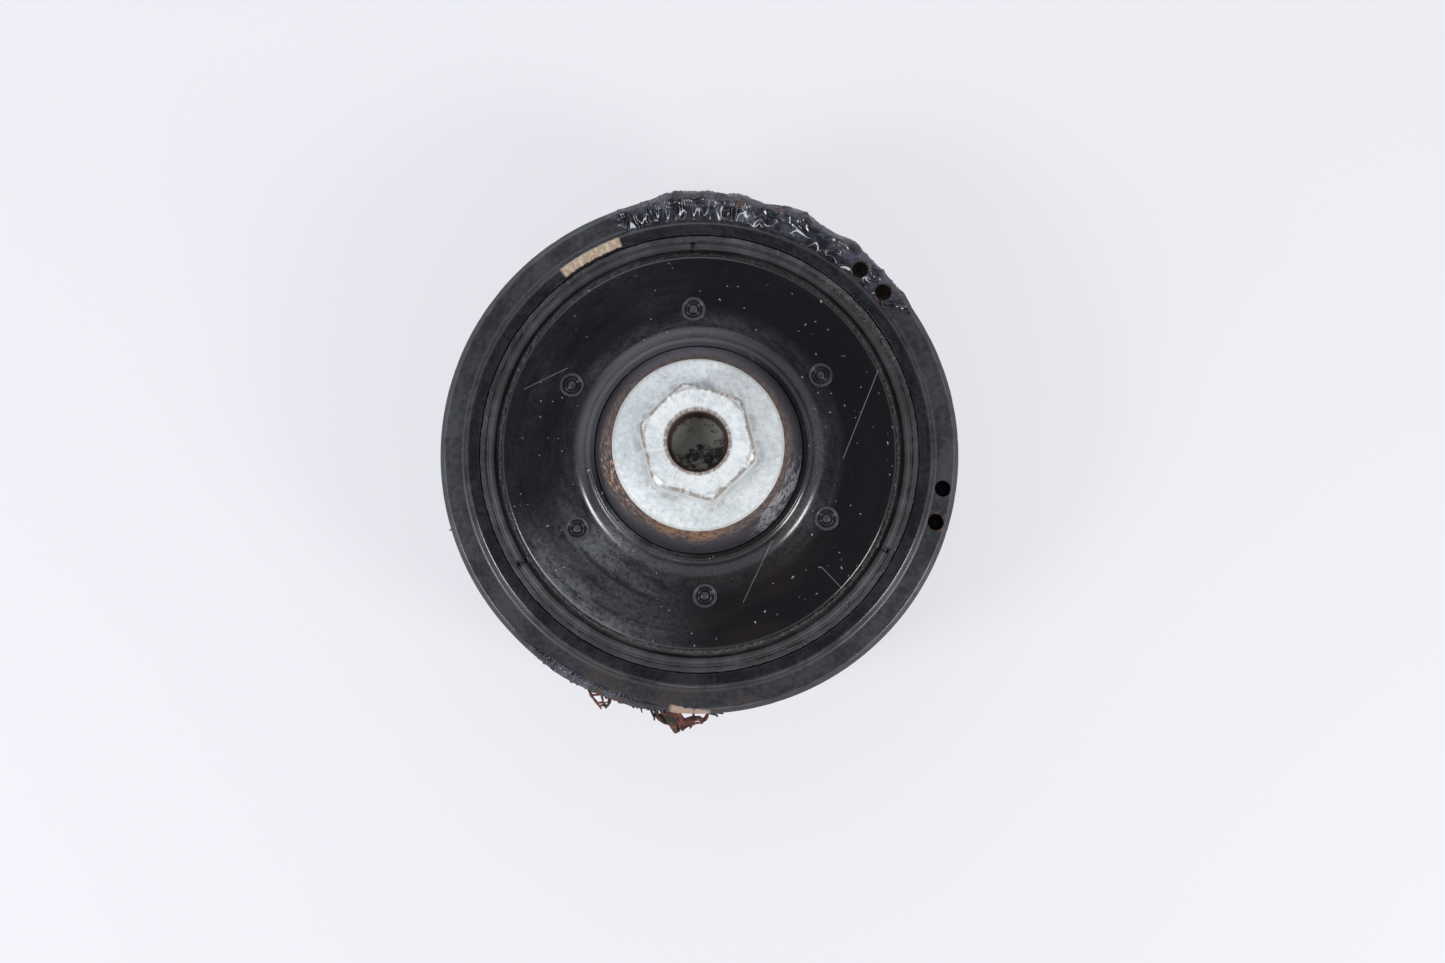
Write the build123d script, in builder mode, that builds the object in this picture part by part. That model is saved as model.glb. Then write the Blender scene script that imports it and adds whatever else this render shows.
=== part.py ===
from build123d import *
import math
import os

# Crankshaft pulley with a torsional vibration damper and a rubber-decoupled belt rim.
# Millimetres. +Z is the crank axis and points forwards, away from the engine. The origin is the
# centre of the hub's rear seating face, which meets the shoulder of the crankshaft.

# ---------------------------------------------------------------- driving dimensions
# Belt rim
pulley_diameter = 155.0
rib_count = 6
rib_pitch = 3.56
groove_depth = 2.9
groove_angle = 40.0
groove_root_flat = 0.5
rim_edge_land = 2.07
rim_wall = 7.5
rim_standoff = 1.5
rim_web_setback = 6.5
rim_web_thickness = 5.0
rim_edge_chamfer = 0.6

# Inertia ring, whose front face is seen beside the belt rim's edge
ring_gap = 1.0
ring_width = 20.0
ring_radial_depth = 12.0
ring_chamfer = 1.5
band_step = 1.9
band_width = 3.4
band_fillet = 1.2
balance_hole_diameter = 5.0
balance_hole_depth = 8.0
balance_hole_inset = 4.1
balance_hole_angles = (41.3, 48.9, 343.7, 351.7)
drill_point_angle = 118.0

# Hub
snout_diameter = 48.0
snout_chamfer = 1.0
crank_bore_diameter = 32.0
crank_bore_depth = 42.0
keyway_width = 5.0
keyway_depth = 2.2
drum_wall = 3.0
web_stand = 3.0
web_thickness = 7.0
nose_height = 25.5
nose_base_diameter = 60.8
nose_front_margin = 0.6
nose_shoulder_height = 9.7
nose_edge_chamfer = 0.5

# Front plate, pressed, with a collar drawn up round the nose
plate_thickness = 2.5
plate_overhang = 0.5
plate_edge_chamfer = 0.5
collar_clearance = 0.4
collar_height = 7.2
collar_bend_radius = 3.2
collar_lip_radius = 0.8

# Rivets through the front plate, the hub's web and the decoupler's inner sleeve
rivet_count = 6
rivet_stand = 4.5
rivet_bend_margin = 1.0
rivet_first_angle = 32.3
rivet_head_diameter = 7.2
rivet_shank_diameter = 4.2
rivet_dish_diameter = 5.4
rivet_dish_depth = 0.9
rivet_nub_diameter = 2.4
rivet_nub_height = 0.6
rivet_lip_stand = 0.25
rivet_tail_diameter = 7.0
rivet_tail_height = 1.8
rivet_clearance = 0.05

# Damper rubber between the hub's drum and the inertia ring
bond_gap = 0.2
rubber_width = 18.0
rubber_bead_height = 2.5
rubber_bead_crown = 0.6
rubber_wall = 7.5
rubber_groove_width = 2.4
rubber_bead_width = 2.8
rubber_lip_height = 1.0
rubber_lip_width = 0.6
gate_count = 3
gate_first_angle = 91.8
gate_width = 1.6
gate_depth = 1.1

# Decoupler between the hub and the belt rim
sleeve_wall = 2.5
sleeve_flange_thickness = 3.0
sleeve_flange_margin = 7.5
sleeve_annulus = 11.5
decoupler_rubber_width = 24.0
decoupler_rubber_inset = 1.0
rim_collar_wall = 2.5
drum_collar_gap = 2.0

# Guide bush, thrust washers and rear retainer
bush_running_clearance = 0.06
bush_wall = 2.4
bush_width = 12.0
guide_collar_wall = 3.5
thrust_clearance = 0.3
front_washer_thickness = 2.7
rear_washer_thickness = 2.1
retainer_thickness = 2.0
retainer_lap = 8.0
retainer_annulus = 6.0
retainer_spigot_wall = 2.5
retainer_spigot_length = 6.0

# Crank bolt, M18 x 1.5, with a flanged hexagon head and a blind recess in its crown
bolt_thread_diameter = 18.0
bolt_hole_clearance = 0.5
bolt_tip_inset = 4.0
bolt_tip_chamfer = 1.2
bolt_thread_length = 36.0
bolt_waist_diameter = 16.4
bolt_waist_taper = 1.0
bolt_flange_diameter = 49.0
bolt_flange_edge = 1.9
bolt_flange_rise = 1.2
bolt_flange_top_diameter = 34.0
bolt_head_height = 14.0
bolt_across_flats = 30.0
bolt_recess_diameter = 17.2
bolt_recess_depth = 9.0
bolt_crown_angle = 30.0
bolt_crown_share = 0.96
bolt_head_turn = 43.8

# Remains of a shredded belt, stuck to the front of the inertia ring's edge
smear_start_angle = 36.0
smear_end_angle = 106.0
smear_stand = 2.4
smear_depth = 13.0
smear_front_film = 0.6
smear_reach = 6.2
film_start_angle = 53.0
shred_set_back = 5.0
shred_thickness = 2.6
shred_root = 1.2
shred_lobes = ((244.8, 252.2, 3.5), (259.0, 267.0, 5.7), (267.4, 275.0, 4.4))

# ---------------------------------------------------------------- derived sizes and levels
pulley_radius = pulley_diameter / 2
rim_wall_radius = pulley_radius - rim_wall
rim_width = rib_count * rib_pitch + 2 * rim_edge_land
rim_rear = rim_standoff
rim_front = rim_rear + rim_width
rim_web_rear = rim_rear + rim_web_setback
rim_web_front = rim_web_rear + rim_web_thickness

ring_rear = rim_front + ring_gap
ring_front = ring_rear + ring_width
band_front = ring_front + band_step
ring_bore_radius = pulley_radius - ring_radial_depth
band_outer_radius = ring_bore_radius + band_width
balance_hole_radius = pulley_radius - balance_hole_inset

web_front = ring_front + web_stand
web_rear = web_front - web_thickness
plate_front = web_front + plate_thickness
nose_front = web_front + nose_height
nose_shoulder = web_front + nose_shoulder_height
snout_radius = snout_diameter / 2
crank_bore_radius = crank_bore_diameter / 2
drum_radius = ring_bore_radius - rubber_wall
drum_inner_radius = drum_radius - drum_wall
drum_rear = rim_web_front + front_washer_thickness + thrust_clearance
nose_base_radius = nose_base_diameter / 2
nose_front_radius = (bolt_flange_diameter + nose_front_margin) / 2
bolt_radius = bolt_thread_diameter / 2
bolt_hole_radius = bolt_radius + bolt_hole_clearance

collar_inner_radius = nose_base_radius + collar_clearance
collar_outer_radius = collar_inner_radius + plate_thickness
collar_top = plate_front + collar_height
plate_radius = drum_radius + plate_overhang

inner_sleeve_inner_radius = snout_radius + sleeve_annulus
inner_sleeve_radius = inner_sleeve_inner_radius + sleeve_wall
sleeve_flange_front = web_rear
sleeve_flange_rear = web_rear - sleeve_flange_thickness
rivet_radius = max(inner_sleeve_radius + rivet_stand,
                   collar_outer_radius + collar_bend_radius + rivet_bend_margin + rivet_head_diameter / 2)
sleeve_flange_radius = rivet_radius + sleeve_flange_margin
outer_sleeve_radius = drum_inner_radius - drum_collar_gap - rim_collar_wall
outer_sleeve_inner_radius = outer_sleeve_radius - sleeve_wall
decoupler_rubber_radius = outer_sleeve_inner_radius - bond_gap
rim_collar_radius = outer_sleeve_radius + rim_collar_wall
sleeve_rear = rim_web_rear
rubber_rear_level = sleeve_rear + decoupler_rubber_inset
rubber_front_level = rubber_rear_level + decoupler_rubber_width
outer_sleeve_front = rubber_front_level + decoupler_rubber_inset

bush_inner_radius = drum_radius + bush_running_clearance
bush_outer_radius = bush_inner_radius + bush_wall
bush_rear = rim_web_front
bush_front = bush_rear + bush_width
guide_collar_radius = bush_outer_radius + guide_collar_wall

retainer_front = rim_web_rear - rear_washer_thickness - thrust_clearance
retainer_rear = retainer_front - retainer_thickness
retainer_radius = rim_collar_radius + retainer_lap
retainer_bore_radius = snout_radius + retainer_annulus

rubber_inner_radius = drum_radius
rubber_outer_radius = ring_bore_radius - bond_gap
damper_rubber_rear = ring_front - rubber_width
bead_outer_radius = ring_bore_radius - rubber_groove_width
bead_inner_radius = bead_outer_radius - rubber_bead_width
bolt_tip = bolt_tip_inset
bolt_crown = nose_front + bolt_head_height

os.makedirs("parts", exist_ok=True)


def revolve_outline(points, mode=Mode.ADD):
    """Turn a closed outline of (radius, height) points about the crank axis."""
    with BuildSketch(Plane.XZ) as outline:
        with BuildLine():
            Polyline(*points, close=True)
        make_face()
    revolve(outline.sketch, axis=Axis.Z, mode=mode)


def ring_points(inner, outer, rear, front):
    """The four corners of a plain ring's section."""
    return [(inner, rear), (outer, rear), (outer, front), (inner, front)]


def polar_point(radius, angle):
    """A point on a circle about the crank axis, at an angle in degrees from +X."""
    return (radius * math.cos(math.radians(angle)), radius * math.sin(math.radians(angle)))


def finish(builder, name):
    """Label a finished piece and write its STEP file."""
    builder.part.label = name
    export_step(builder.part, f"parts/{name}.step")


# ---------------------------------------------------------------- hub
# One forging, turned all over: the snout that carries the crank's nose and runs in the oil
# seal, the web, the drum that holds the damper's rubber, and the conical nose.
with BuildPart() as hub:
    revolve_outline([
        (bolt_hole_radius, crank_bore_depth),
        (crank_bore_radius, crank_bore_depth),
        (crank_bore_radius, snout_chamfer),
        (crank_bore_radius + snout_chamfer, 0),
        (snout_radius - snout_chamfer, 0),
        (snout_radius, snout_chamfer),
        (snout_radius, web_rear),
        (drum_inner_radius, web_rear),
        (drum_inner_radius, drum_rear),
        (drum_radius, drum_rear),
        (drum_radius, web_front),
        (nose_base_radius, web_front),
        (nose_base_radius, nose_shoulder - nose_edge_chamfer),
        (nose_base_radius - nose_edge_chamfer, nose_shoulder),
        (nose_front_radius, nose_front - nose_edge_chamfer),
        (nose_front_radius - nose_edge_chamfer, nose_front),
        (bolt_hole_radius, nose_front),
    ])
    # keyway for the crank's key, cut through the snout's bore
    with BuildSketch(Plane.XY):
        with Locations((0, crank_bore_radius)):
            Rectangle(keyway_width, 2 * keyway_depth)
    extrude(amount=crank_bore_depth, mode=Mode.SUBTRACT)
    with BuildSketch(Plane.XY.offset(sleeve_flange_rear)):
        with PolarLocations(rivet_radius, rivet_count, start_angle=rivet_first_angle):
            Circle(rivet_shank_diameter / 2 + rivet_clearance)
    extrude(amount=sleeve_flange_thickness + web_thickness, mode=Mode.SUBTRACT)
finish(hub, "hub")

# ---------------------------------------------------------------- front plate
with BuildPart() as front_plate:
    with BuildSketch(Plane.XZ) as plate_outline:
        with BuildLine():
            Polyline(
                (collar_inner_radius, web_front),
                (plate_radius - plate_edge_chamfer, web_front),
                (plate_radius, web_front + plate_edge_chamfer),
                (plate_radius, plate_front - plate_edge_chamfer),
                (plate_radius - plate_edge_chamfer, plate_front),
                (collar_outer_radius, plate_front),
                (collar_outer_radius, collar_top),
                (collar_inner_radius, collar_top),
                close=True,
            )
        make_face()
        bend = plate_outline.vertices().sort_by_distance((collar_outer_radius, plate_front, 0))[0]
        fillet(bend, radius=min(collar_bend_radius, 0.9 * collar_height))
        lip = plate_outline.vertices().sort_by_distance((collar_outer_radius, collar_top, 0))[0]
        fillet(lip, radius=min(collar_lip_radius, 0.45 * plate_thickness))
    revolve(axis=Axis.Z)
    with BuildSketch(Plane.XY.offset(web_front)):
        with PolarLocations(rivet_radius, rivet_count, start_angle=rivet_first_angle):
            Circle(rivet_head_diameter / 2 + rivet_clearance)
    extrude(amount=plate_thickness, mode=Mode.SUBTRACT)
finish(front_plate, "front_plate")

# ---------------------------------------------------------------- rivets
# Six solids: a dished front head with a centre nub, a shank, and a plain tail.
rivet_head_top = plate_front + rivet_lip_stand
rivet_tail_rear = sleeve_flange_rear - rivet_tail_height
with BuildPart() as plate_rivets:
    with PolarLocations(rivet_radius, rivet_count, start_angle=rivet_first_angle):
        with Locations((0, 0, rivet_tail_rear)):
            Cylinder(rivet_tail_diameter / 2, rivet_tail_height,
                     align=(Align.CENTER, Align.CENTER, Align.MIN))
        with Locations((0, 0, sleeve_flange_rear)):
            Cylinder(rivet_shank_diameter / 2, web_front - sleeve_flange_rear,
                     align=(Align.CENTER, Align.CENTER, Align.MIN))
        with Locations((0, 0, web_front)):
            Cylinder(rivet_head_diameter / 2, rivet_head_top - web_front,
                     align=(Align.CENTER, Align.CENTER, Align.MIN))
        with Locations((0, 0, rivet_head_top - rivet_dish_depth)):
            Cylinder(rivet_dish_diameter / 2, rivet_dish_depth,
                     align=(Align.CENTER, Align.CENTER, Align.MIN), mode=Mode.SUBTRACT)
            Cylinder(rivet_nub_diameter / 2, rivet_nub_height,
                     align=(Align.CENTER, Align.CENTER, Align.MIN))
finish(plate_rivets, "plate_rivets")

# ---------------------------------------------------------------- damper rubber
# A moulded ring with a raised bead at its front, which the moulding gates have notched.
with BuildPart() as damper_rubber:
    bead_middle = (bead_inner_radius + bead_outer_radius) / 2
    bead_top = ring_front + rubber_bead_height
    revolve_outline([
        (rubber_inner_radius, damper_rubber_rear),
        (rubber_outer_radius, damper_rubber_rear),
        (rubber_outer_radius, ring_front + rubber_lip_height),
        (bead_outer_radius + rubber_lip_width, ring_front + rubber_lip_height),
        (bead_outer_radius, ring_front),
        (bead_outer_radius, bead_top - rubber_bead_crown),
        (bead_middle + rubber_bead_crown, bead_top),
        (bead_middle - rubber_bead_crown, bead_top),
        (bead_inner_radius, bead_top - rubber_bead_crown),
        (bead_inner_radius, ring_front),
        (rubber_inner_radius, ring_front + rubber_lip_height),
    ])
    with PolarLocations(bead_middle, gate_count, start_angle=gate_first_angle):
        with Locations((0, 0, bead_top)):
            Box(bead_outer_radius - bead_inner_radius, gate_width, 2 * gate_depth,
                mode=Mode.SUBTRACT)
finish(damper_rubber, "damper_rubber")

# ---------------------------------------------------------------- inertia ring
with BuildPart() as inertia_ring:
    with BuildSketch(Plane.XZ) as ring_outline:
        with BuildLine():
            Polyline(
                (ring_bore_radius, ring_rear),
                (pulley_radius - rim_edge_chamfer, ring_rear),
                (pulley_radius, ring_rear + rim_edge_chamfer),
                (pulley_radius, ring_front - ring_chamfer),
                (pulley_radius - ring_chamfer, ring_front),
                (band_outer_radius + band_step, ring_front),
                (band_outer_radius, band_front),
                (ring_bore_radius, band_front),
                close=True,
            )
        make_face()
        step_foot = ring_outline.vertices().sort_by_distance(
            (band_outer_radius + band_step, ring_front, 0))[0]
        fillet(step_foot, radius=min(band_fillet, band_step))
    revolve(axis=Axis.Z)
    drill_point = balance_hole_diameter / 2 / math.tan(math.radians(drill_point_angle / 2))
    for angle in balance_hole_angles:
        x, y = polar_point(balance_hole_radius, angle)
        with Locations((x, y, ring_front)):
            Cylinder(balance_hole_diameter / 2, 2 * balance_hole_depth, mode=Mode.SUBTRACT)
        with Locations((x, y, ring_front - balance_hole_depth)):
            Cone(0, balance_hole_diameter / 2, drill_point,
                 align=(Align.CENTER, Align.CENTER, Align.MAX), mode=Mode.SUBTRACT)
finish(inertia_ring, "inertia_ring")

# ---------------------------------------------------------------- belt rim
# A turned rim with V-grooves for a ribbed belt, a web, a collar for the decoupler and a
# collar for the guide bush.
groove_half_mouth = groove_root_flat / 2 + groove_depth * math.tan(math.radians(groove_angle / 2))
groove_edge = []
for rib in range(rib_count):
    middle = rim_rear + rim_edge_land + (rib + 0.5) * rib_pitch
    groove_edge += [
        (pulley_radius, middle - groove_half_mouth),
        (pulley_radius - groove_depth, middle - groove_root_flat / 2),
        (pulley_radius - groove_depth, middle + groove_root_flat / 2),
        (pulley_radius, middle + groove_half_mouth),
    ]
with BuildPart() as belt_rim:
    revolve_outline([
        (outer_sleeve_radius, rim_web_rear),
        (rim_wall_radius, rim_web_rear),
        (rim_wall_radius, rim_rear),
        (pulley_radius - rim_edge_chamfer, rim_rear),
        (pulley_radius, rim_rear + rim_edge_chamfer),
        *groove_edge,
        (pulley_radius, rim_front - rim_edge_chamfer),
        (pulley_radius - rim_edge_chamfer, rim_front),
        (rim_wall_radius, rim_front),
        (rim_wall_radius, rim_web_front),
        (guide_collar_radius, rim_web_front),
        (guide_collar_radius, bush_front),
        (bush_outer_radius, bush_front),
        (bush_outer_radius, rim_web_front),
        (rim_collar_radius, rim_web_front),
        (rim_collar_radius, outer_sleeve_front),
        (outer_sleeve_radius, outer_sleeve_front),
    ])
finish(belt_rim, "belt_rim")

# ---------------------------------------------------------------- decoupler
with BuildPart() as decoupler_inner_sleeve:
    revolve_outline([
        (inner_sleeve_inner_radius, sleeve_rear),
        (inner_sleeve_radius, sleeve_rear),
        (inner_sleeve_radius, sleeve_flange_rear),
        (sleeve_flange_radius, sleeve_flange_rear),
        (sleeve_flange_radius, sleeve_flange_front),
        (inner_sleeve_inner_radius, sleeve_flange_front),
    ])
    with BuildSketch(Plane.XY.offset(sleeve_flange_rear)):
        with PolarLocations(rivet_radius, rivet_count, start_angle=rivet_first_angle):
            Circle(rivet_shank_diameter / 2 + rivet_clearance)
    extrude(amount=sleeve_flange_thickness, mode=Mode.SUBTRACT)
finish(decoupler_inner_sleeve, "decoupler_inner_sleeve")

with BuildPart() as decoupler_rubber:
    revolve_outline(ring_points(
        inner_sleeve_radius, decoupler_rubber_radius, rubber_rear_level, rubber_front_level))
finish(decoupler_rubber, "decoupler_rubber")

with BuildPart() as decoupler_outer_sleeve:
    revolve_outline(ring_points(
        outer_sleeve_inner_radius, outer_sleeve_radius, sleeve_rear, outer_sleeve_front))
finish(decoupler_outer_sleeve, "decoupler_outer_sleeve")

# ---------------------------------------------------------------- bush, washers, retainer
with BuildPart() as guide_bush:
    revolve_outline(ring_points(bush_inner_radius, bush_outer_radius, bush_rear, bush_front))
finish(guide_bush, "guide_bush")

with BuildPart() as front_thrust_washer:
    revolve_outline(ring_points(
        drum_inner_radius, drum_radius, rim_web_front, rim_web_front + front_washer_thickness))
finish(front_thrust_washer, "front_thrust_washer")

with BuildPart() as rear_thrust_washer:
    revolve_outline(ring_points(
        rim_collar_radius, retainer_radius, rim_web_rear - rear_washer_thickness, rim_web_rear))
finish(rear_thrust_washer, "rear_thrust_washer")

# The spigot is pressed into the rear of the decoupler's inner sleeve.
with BuildPart() as rear_retainer:
    revolve_outline([
        (retainer_bore_radius, retainer_rear),
        (retainer_radius, retainer_rear),
        (retainer_radius, retainer_front),
        (inner_sleeve_inner_radius, retainer_front),
        (inner_sleeve_inner_radius, retainer_front + retainer_spigot_length),
        (inner_sleeve_inner_radius - retainer_spigot_wall, retainer_front + retainer_spigot_length),
        (inner_sleeve_inner_radius - retainer_spigot_wall, retainer_front),
        (retainer_bore_radius, retainer_front),
    ])
finish(rear_retainer, "rear_retainer")

# ---------------------------------------------------------------- crank bolt
flange_top = nose_front + bolt_flange_edge + bolt_flange_rise
thread_front = bolt_tip + bolt_thread_length
waist_radius = bolt_waist_diameter / 2
with BuildPart() as crank_bolt:
    revolve_outline([
        (0, bolt_tip),
        (bolt_radius - bolt_tip_chamfer, bolt_tip),
        (bolt_radius, bolt_tip + bolt_tip_chamfer),
        (bolt_radius, thread_front),
        (waist_radius, thread_front + bolt_waist_taper),
        (waist_radius, nose_front),
        (bolt_flange_diameter / 2, nose_front),
        (bolt_flange_diameter / 2, nose_front + bolt_flange_edge),
        (bolt_flange_top_diameter / 2, flange_top),
        (0, flange_top),
    ])
    with BuildSketch(Plane.XY.offset(flange_top)):
        RegularPolygon(bolt_across_flats / 2, 6, major_radius=False, rotation=bolt_head_turn)
    extrude(amount=bolt_crown - flange_top)
    # the crown is turned at a shallow cone, which cuts the hexagon's six corners
    corner_radius = bolt_across_flats / 2 / math.cos(math.pi / 6)
    crown_radius = bolt_crown_share * bolt_across_flats / 2
    crown_drop = (corner_radius + 1 - crown_radius) * math.tan(math.radians(bolt_crown_angle))
    revolve_outline([
        (crown_radius, bolt_crown),
        (corner_radius + 1, bolt_crown - crown_drop),
        (corner_radius + 1, bolt_crown),
    ], mode=Mode.SUBTRACT)
    with Locations((0, 0, bolt_crown)):
        Cylinder(bolt_recess_diameter / 2, 2 * bolt_recess_depth, mode=Mode.SUBTRACT)
finish(crank_bolt, "crank_bolt")

# ---------------------------------------------------------------- belt remains
# The smear is a crust of torn belt rubber that wraps the ring's front edge. Its film on the
# ring's face starts further round than its wall, past the two balance holes.
smear_wall = [
    (pulley_radius, ring_front - smear_depth),
    (pulley_radius + smear_stand, ring_front - smear_depth),
    (pulley_radius + smear_stand, ring_front - ring_chamfer),
    (pulley_radius + 0.5, ring_front + smear_front_film),
    (pulley_radius - ring_chamfer, ring_front + smear_front_film),
    (pulley_radius - ring_chamfer, ring_front),
    (pulley_radius, ring_front - ring_chamfer),
]
smear_film = [
    (pulley_radius - smear_reach, ring_front),
    (pulley_radius - ring_chamfer, ring_front),
    (pulley_radius - ring_chamfer, ring_front + smear_front_film),
    (pulley_radius - smear_reach, ring_front + smear_front_film),
]
with BuildPart() as belt_smear:
    for section, start_angle in ((smear_wall, smear_start_angle), (smear_film, film_start_angle)):
        along = polar_point(1, start_angle)
        section_plane = Plane(origin=(0, 0, 0), x_dir=(*along, 0), z_dir=(along[1], -along[0], 0))
        with BuildSketch(section_plane):
            with BuildLine():
                Polyline(*section, close=True)
            make_face()
        revolve(axis=Axis.Z, revolution_arc=smear_end_angle - start_angle)
finish(belt_smear, "belt_smear")

# The shreds are tongues of cord and rubber, one solid for each.
with BuildPart() as belt_shreds:
    for first, last, stand in shred_lobes:
        middle = (first + last) / 2
        root = pulley_radius
        with BuildSketch(Plane.XY.offset(ring_front - shred_set_back - shred_thickness)):
            with BuildLine():
                Polyline(
                    polar_point(root, last),
                    polar_point(root + 0.6 * stand, last),
                    polar_point(root + stand, middle),
                    polar_point(root + 0.6 * stand, first),
                    polar_point(root, first),
                )
                ThreePointArc(polar_point(root, first), polar_point(root, middle),
                              polar_point(root, last))
            make_face()
        extrude(amount=shred_thickness)
finish(belt_shreds, "belt_shreds")
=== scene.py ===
import itertools
import logging
import math
from collections.abc import Callable, Sequence
from dataclasses import dataclass, field
from enum import Enum
from functools import partial

import bpy
import numpy as np
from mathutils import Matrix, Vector


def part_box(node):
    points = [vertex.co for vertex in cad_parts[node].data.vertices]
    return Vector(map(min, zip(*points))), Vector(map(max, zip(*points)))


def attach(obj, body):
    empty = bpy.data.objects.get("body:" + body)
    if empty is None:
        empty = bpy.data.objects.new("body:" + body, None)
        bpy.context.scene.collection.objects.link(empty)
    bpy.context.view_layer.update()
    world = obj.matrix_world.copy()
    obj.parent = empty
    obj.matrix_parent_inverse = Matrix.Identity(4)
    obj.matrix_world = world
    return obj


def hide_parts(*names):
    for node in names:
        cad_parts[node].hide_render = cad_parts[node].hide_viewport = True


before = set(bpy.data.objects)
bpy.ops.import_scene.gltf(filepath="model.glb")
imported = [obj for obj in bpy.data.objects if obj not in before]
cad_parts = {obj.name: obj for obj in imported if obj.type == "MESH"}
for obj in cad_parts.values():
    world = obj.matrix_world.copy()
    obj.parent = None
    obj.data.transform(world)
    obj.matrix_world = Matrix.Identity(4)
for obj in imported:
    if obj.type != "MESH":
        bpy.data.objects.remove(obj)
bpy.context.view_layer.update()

LOG = logging.getLogger("pulley")
MM = 0.001
TAU = 2 * math.pi

Array = np.ndarray


# ------------------------------------------------------------------ numbers

def hex_colour(code: str) -> tuple[float, float, float, float]:
    """Turn an sRGB hex code into a linear colour.

    Args:
        code: six hex digits, with or without a leading hash.

    Returns:
        Linear red, green, blue and an alpha of one.
    """
    digits = code.lstrip("#")
    srgb = np.array([int(digits[i:i + 2], 16) / 255 for i in (0, 2, 4)])
    linear = np.where(srgb <= 0.04045, srgb / 12.92, ((srgb + 0.055) / 1.055) ** 2.4)
    return (*linear.tolist(), 1.0)


def lattice_noise(points: Array, cell: float, seed: int) -> Array:
    """Value noise: a fixed random number at each corner of a cubic lattice, blended smoothly.

    Args:
        points: positions, with x, y, z on the last axis.
        cell: the lattice's spacing in metres.
        seed: picks the set of numbers.

    Returns:
        Noise from -1 to 1, one value for each point.
    """
    scaled = points / cell
    corner = np.floor(scaled).astype(np.int64)
    part = scaled - corner
    blend = part * part * (3 - 2 * part)
    total = np.zeros(points.shape[:-1])
    for step in itertools.product((0, 1), repeat=3):
        at = corner + np.array(step)
        mixed = (at[..., 0] * 73856093) ^ (at[..., 1] * 19349663) ^ (at[..., 2] * 83492791)
        mixed = (mixed ^ (seed * 2654435761)) & 0xFFFFFFFF
        mixed = ((mixed ^ (mixed >> 13)) * 1274126177) & 0xFFFFFFFF
        mixed = mixed ^ (mixed >> 16)
        value = (mixed & 0xFFFF) / 32767.5 - 1
        weight = np.where(np.array(step) == 1, blend, 1 - blend).prod(axis=-1)
        total += weight * value
    return total


def layered_noise(points: Array, cell: float, seed: int, layers: int = 3) -> Array:
    """Sum of lattice noises, each half the size and half the strength of the one before.

    Args:
        points: positions, with x, y, z on the last axis.
        cell: the largest noise's cell in metres.
        seed: picks the sets of numbers.
        layers: how many noises are added.

    Returns:
        Noise from about -1.75 to 1.75, one value for each point.
    """
    total = np.zeros(points.shape[:-1])
    for layer in range(layers):
        total += lattice_noise(points, cell / 2 ** layer, seed + 17 * layer) / 2 ** layer
    return total


def smooth_step(value: Array, low: float, high: float) -> Array:
    """Rise from 0 to 1 as value goes from low to high, with level ends."""
    share = np.clip((value - low) / (high - low), 0, 1)
    return share * share * (3 - 2 * share)


def bump_between(value: Array, low: float, high: float, ramp: float) -> Array:
    """One between low and high, falling to zero over a ramp outside of each."""
    return smooth_step(value, low - ramp, low) * (1 - smooth_step(value, high, high + ramp))


# ------------------------------------------------------------------ outlines and meshes

@dataclass(frozen=True)
class Corner:
    """One corner of a turned piece's outline: radius and height in metres, and its rounding.

    step is the longest step along the side that starts here; at 0 it is the outline's own.
    """

    radius: float
    height: float
    rounding: float = 0.0
    step: float = 0.0


def rounded_outline(corners: Sequence[Corner], spacing: float, closed: bool = True) -> Array:
    """Sample an outline whose corners are replaced by arcs tangent to both sides.

    The arc at a corner starts where the side is rounding / tan(half the corner's angle) from
    it, and straight stretches are cut into equal steps no longer than spacing.

    Args:
        corners: the outline's corners in order, anticlockwise with radius to the right.
        spacing: the longest step along the outline.
        closed: whether the last corner joins the first.

    Returns:
        Points as an array of (radius, height) rows.
    """
    places = np.array([(c.radius, c.height) for c in corners])
    count = len(places)
    pieces: list[Array] = []
    for index, corner in enumerate(corners):
        ends = not closed and index in (0, count - 1)
        here = places[index]
        if ends or corner.rounding <= 0:
            pieces.append(here[None])
            continue
        back = places[index - 1] - here
        ahead = places[(index + 1) % count] - here
        back_length, ahead_length = np.linalg.norm(back), np.linalg.norm(ahead)
        back, ahead = back / back_length, ahead / ahead_length
        half = 0.5 * math.acos(float(np.clip(back @ ahead, -1, 1)))
        set_back = min(corner.rounding / math.tan(half), 0.48 * back_length, 0.48 * ahead_length)
        radius = set_back * math.tan(half)
        bisector = (back + ahead) / np.linalg.norm(back + ahead)
        centre = here + bisector * radius / math.sin(half)
        first = here + back * set_back - centre
        last = here + ahead * set_back - centre
        turn = math.atan2(first[0] * last[1] - first[1] * last[0], float(first @ last))
        steps = max(4, int(math.ceil(abs(turn) / math.radians(14))))
        sweep = np.linspace(0, turn, steps + 1)
        cos, sin = np.cos(sweep), np.sin(sweep)
        pieces.append(centre + np.stack([first[0] * cos - first[1] * sin,
                                         first[0] * sin + first[1] * cos], axis=1))
    out: list[Array] = []
    total = len(pieces)
    for index, piece in enumerate(pieces):
        out.append(piece)
        if not closed and index == total - 1:
            break
        start, end = piece[-1], pieces[(index + 1) % total][0]
        steps = int(math.ceil(np.linalg.norm(end - start) / (corners[index].step or spacing)))
        if steps > 1:
            share = np.arange(1, steps)[:, None] / steps
            out.append(start + (end - start) * share)
    return np.concatenate(out)


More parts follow.
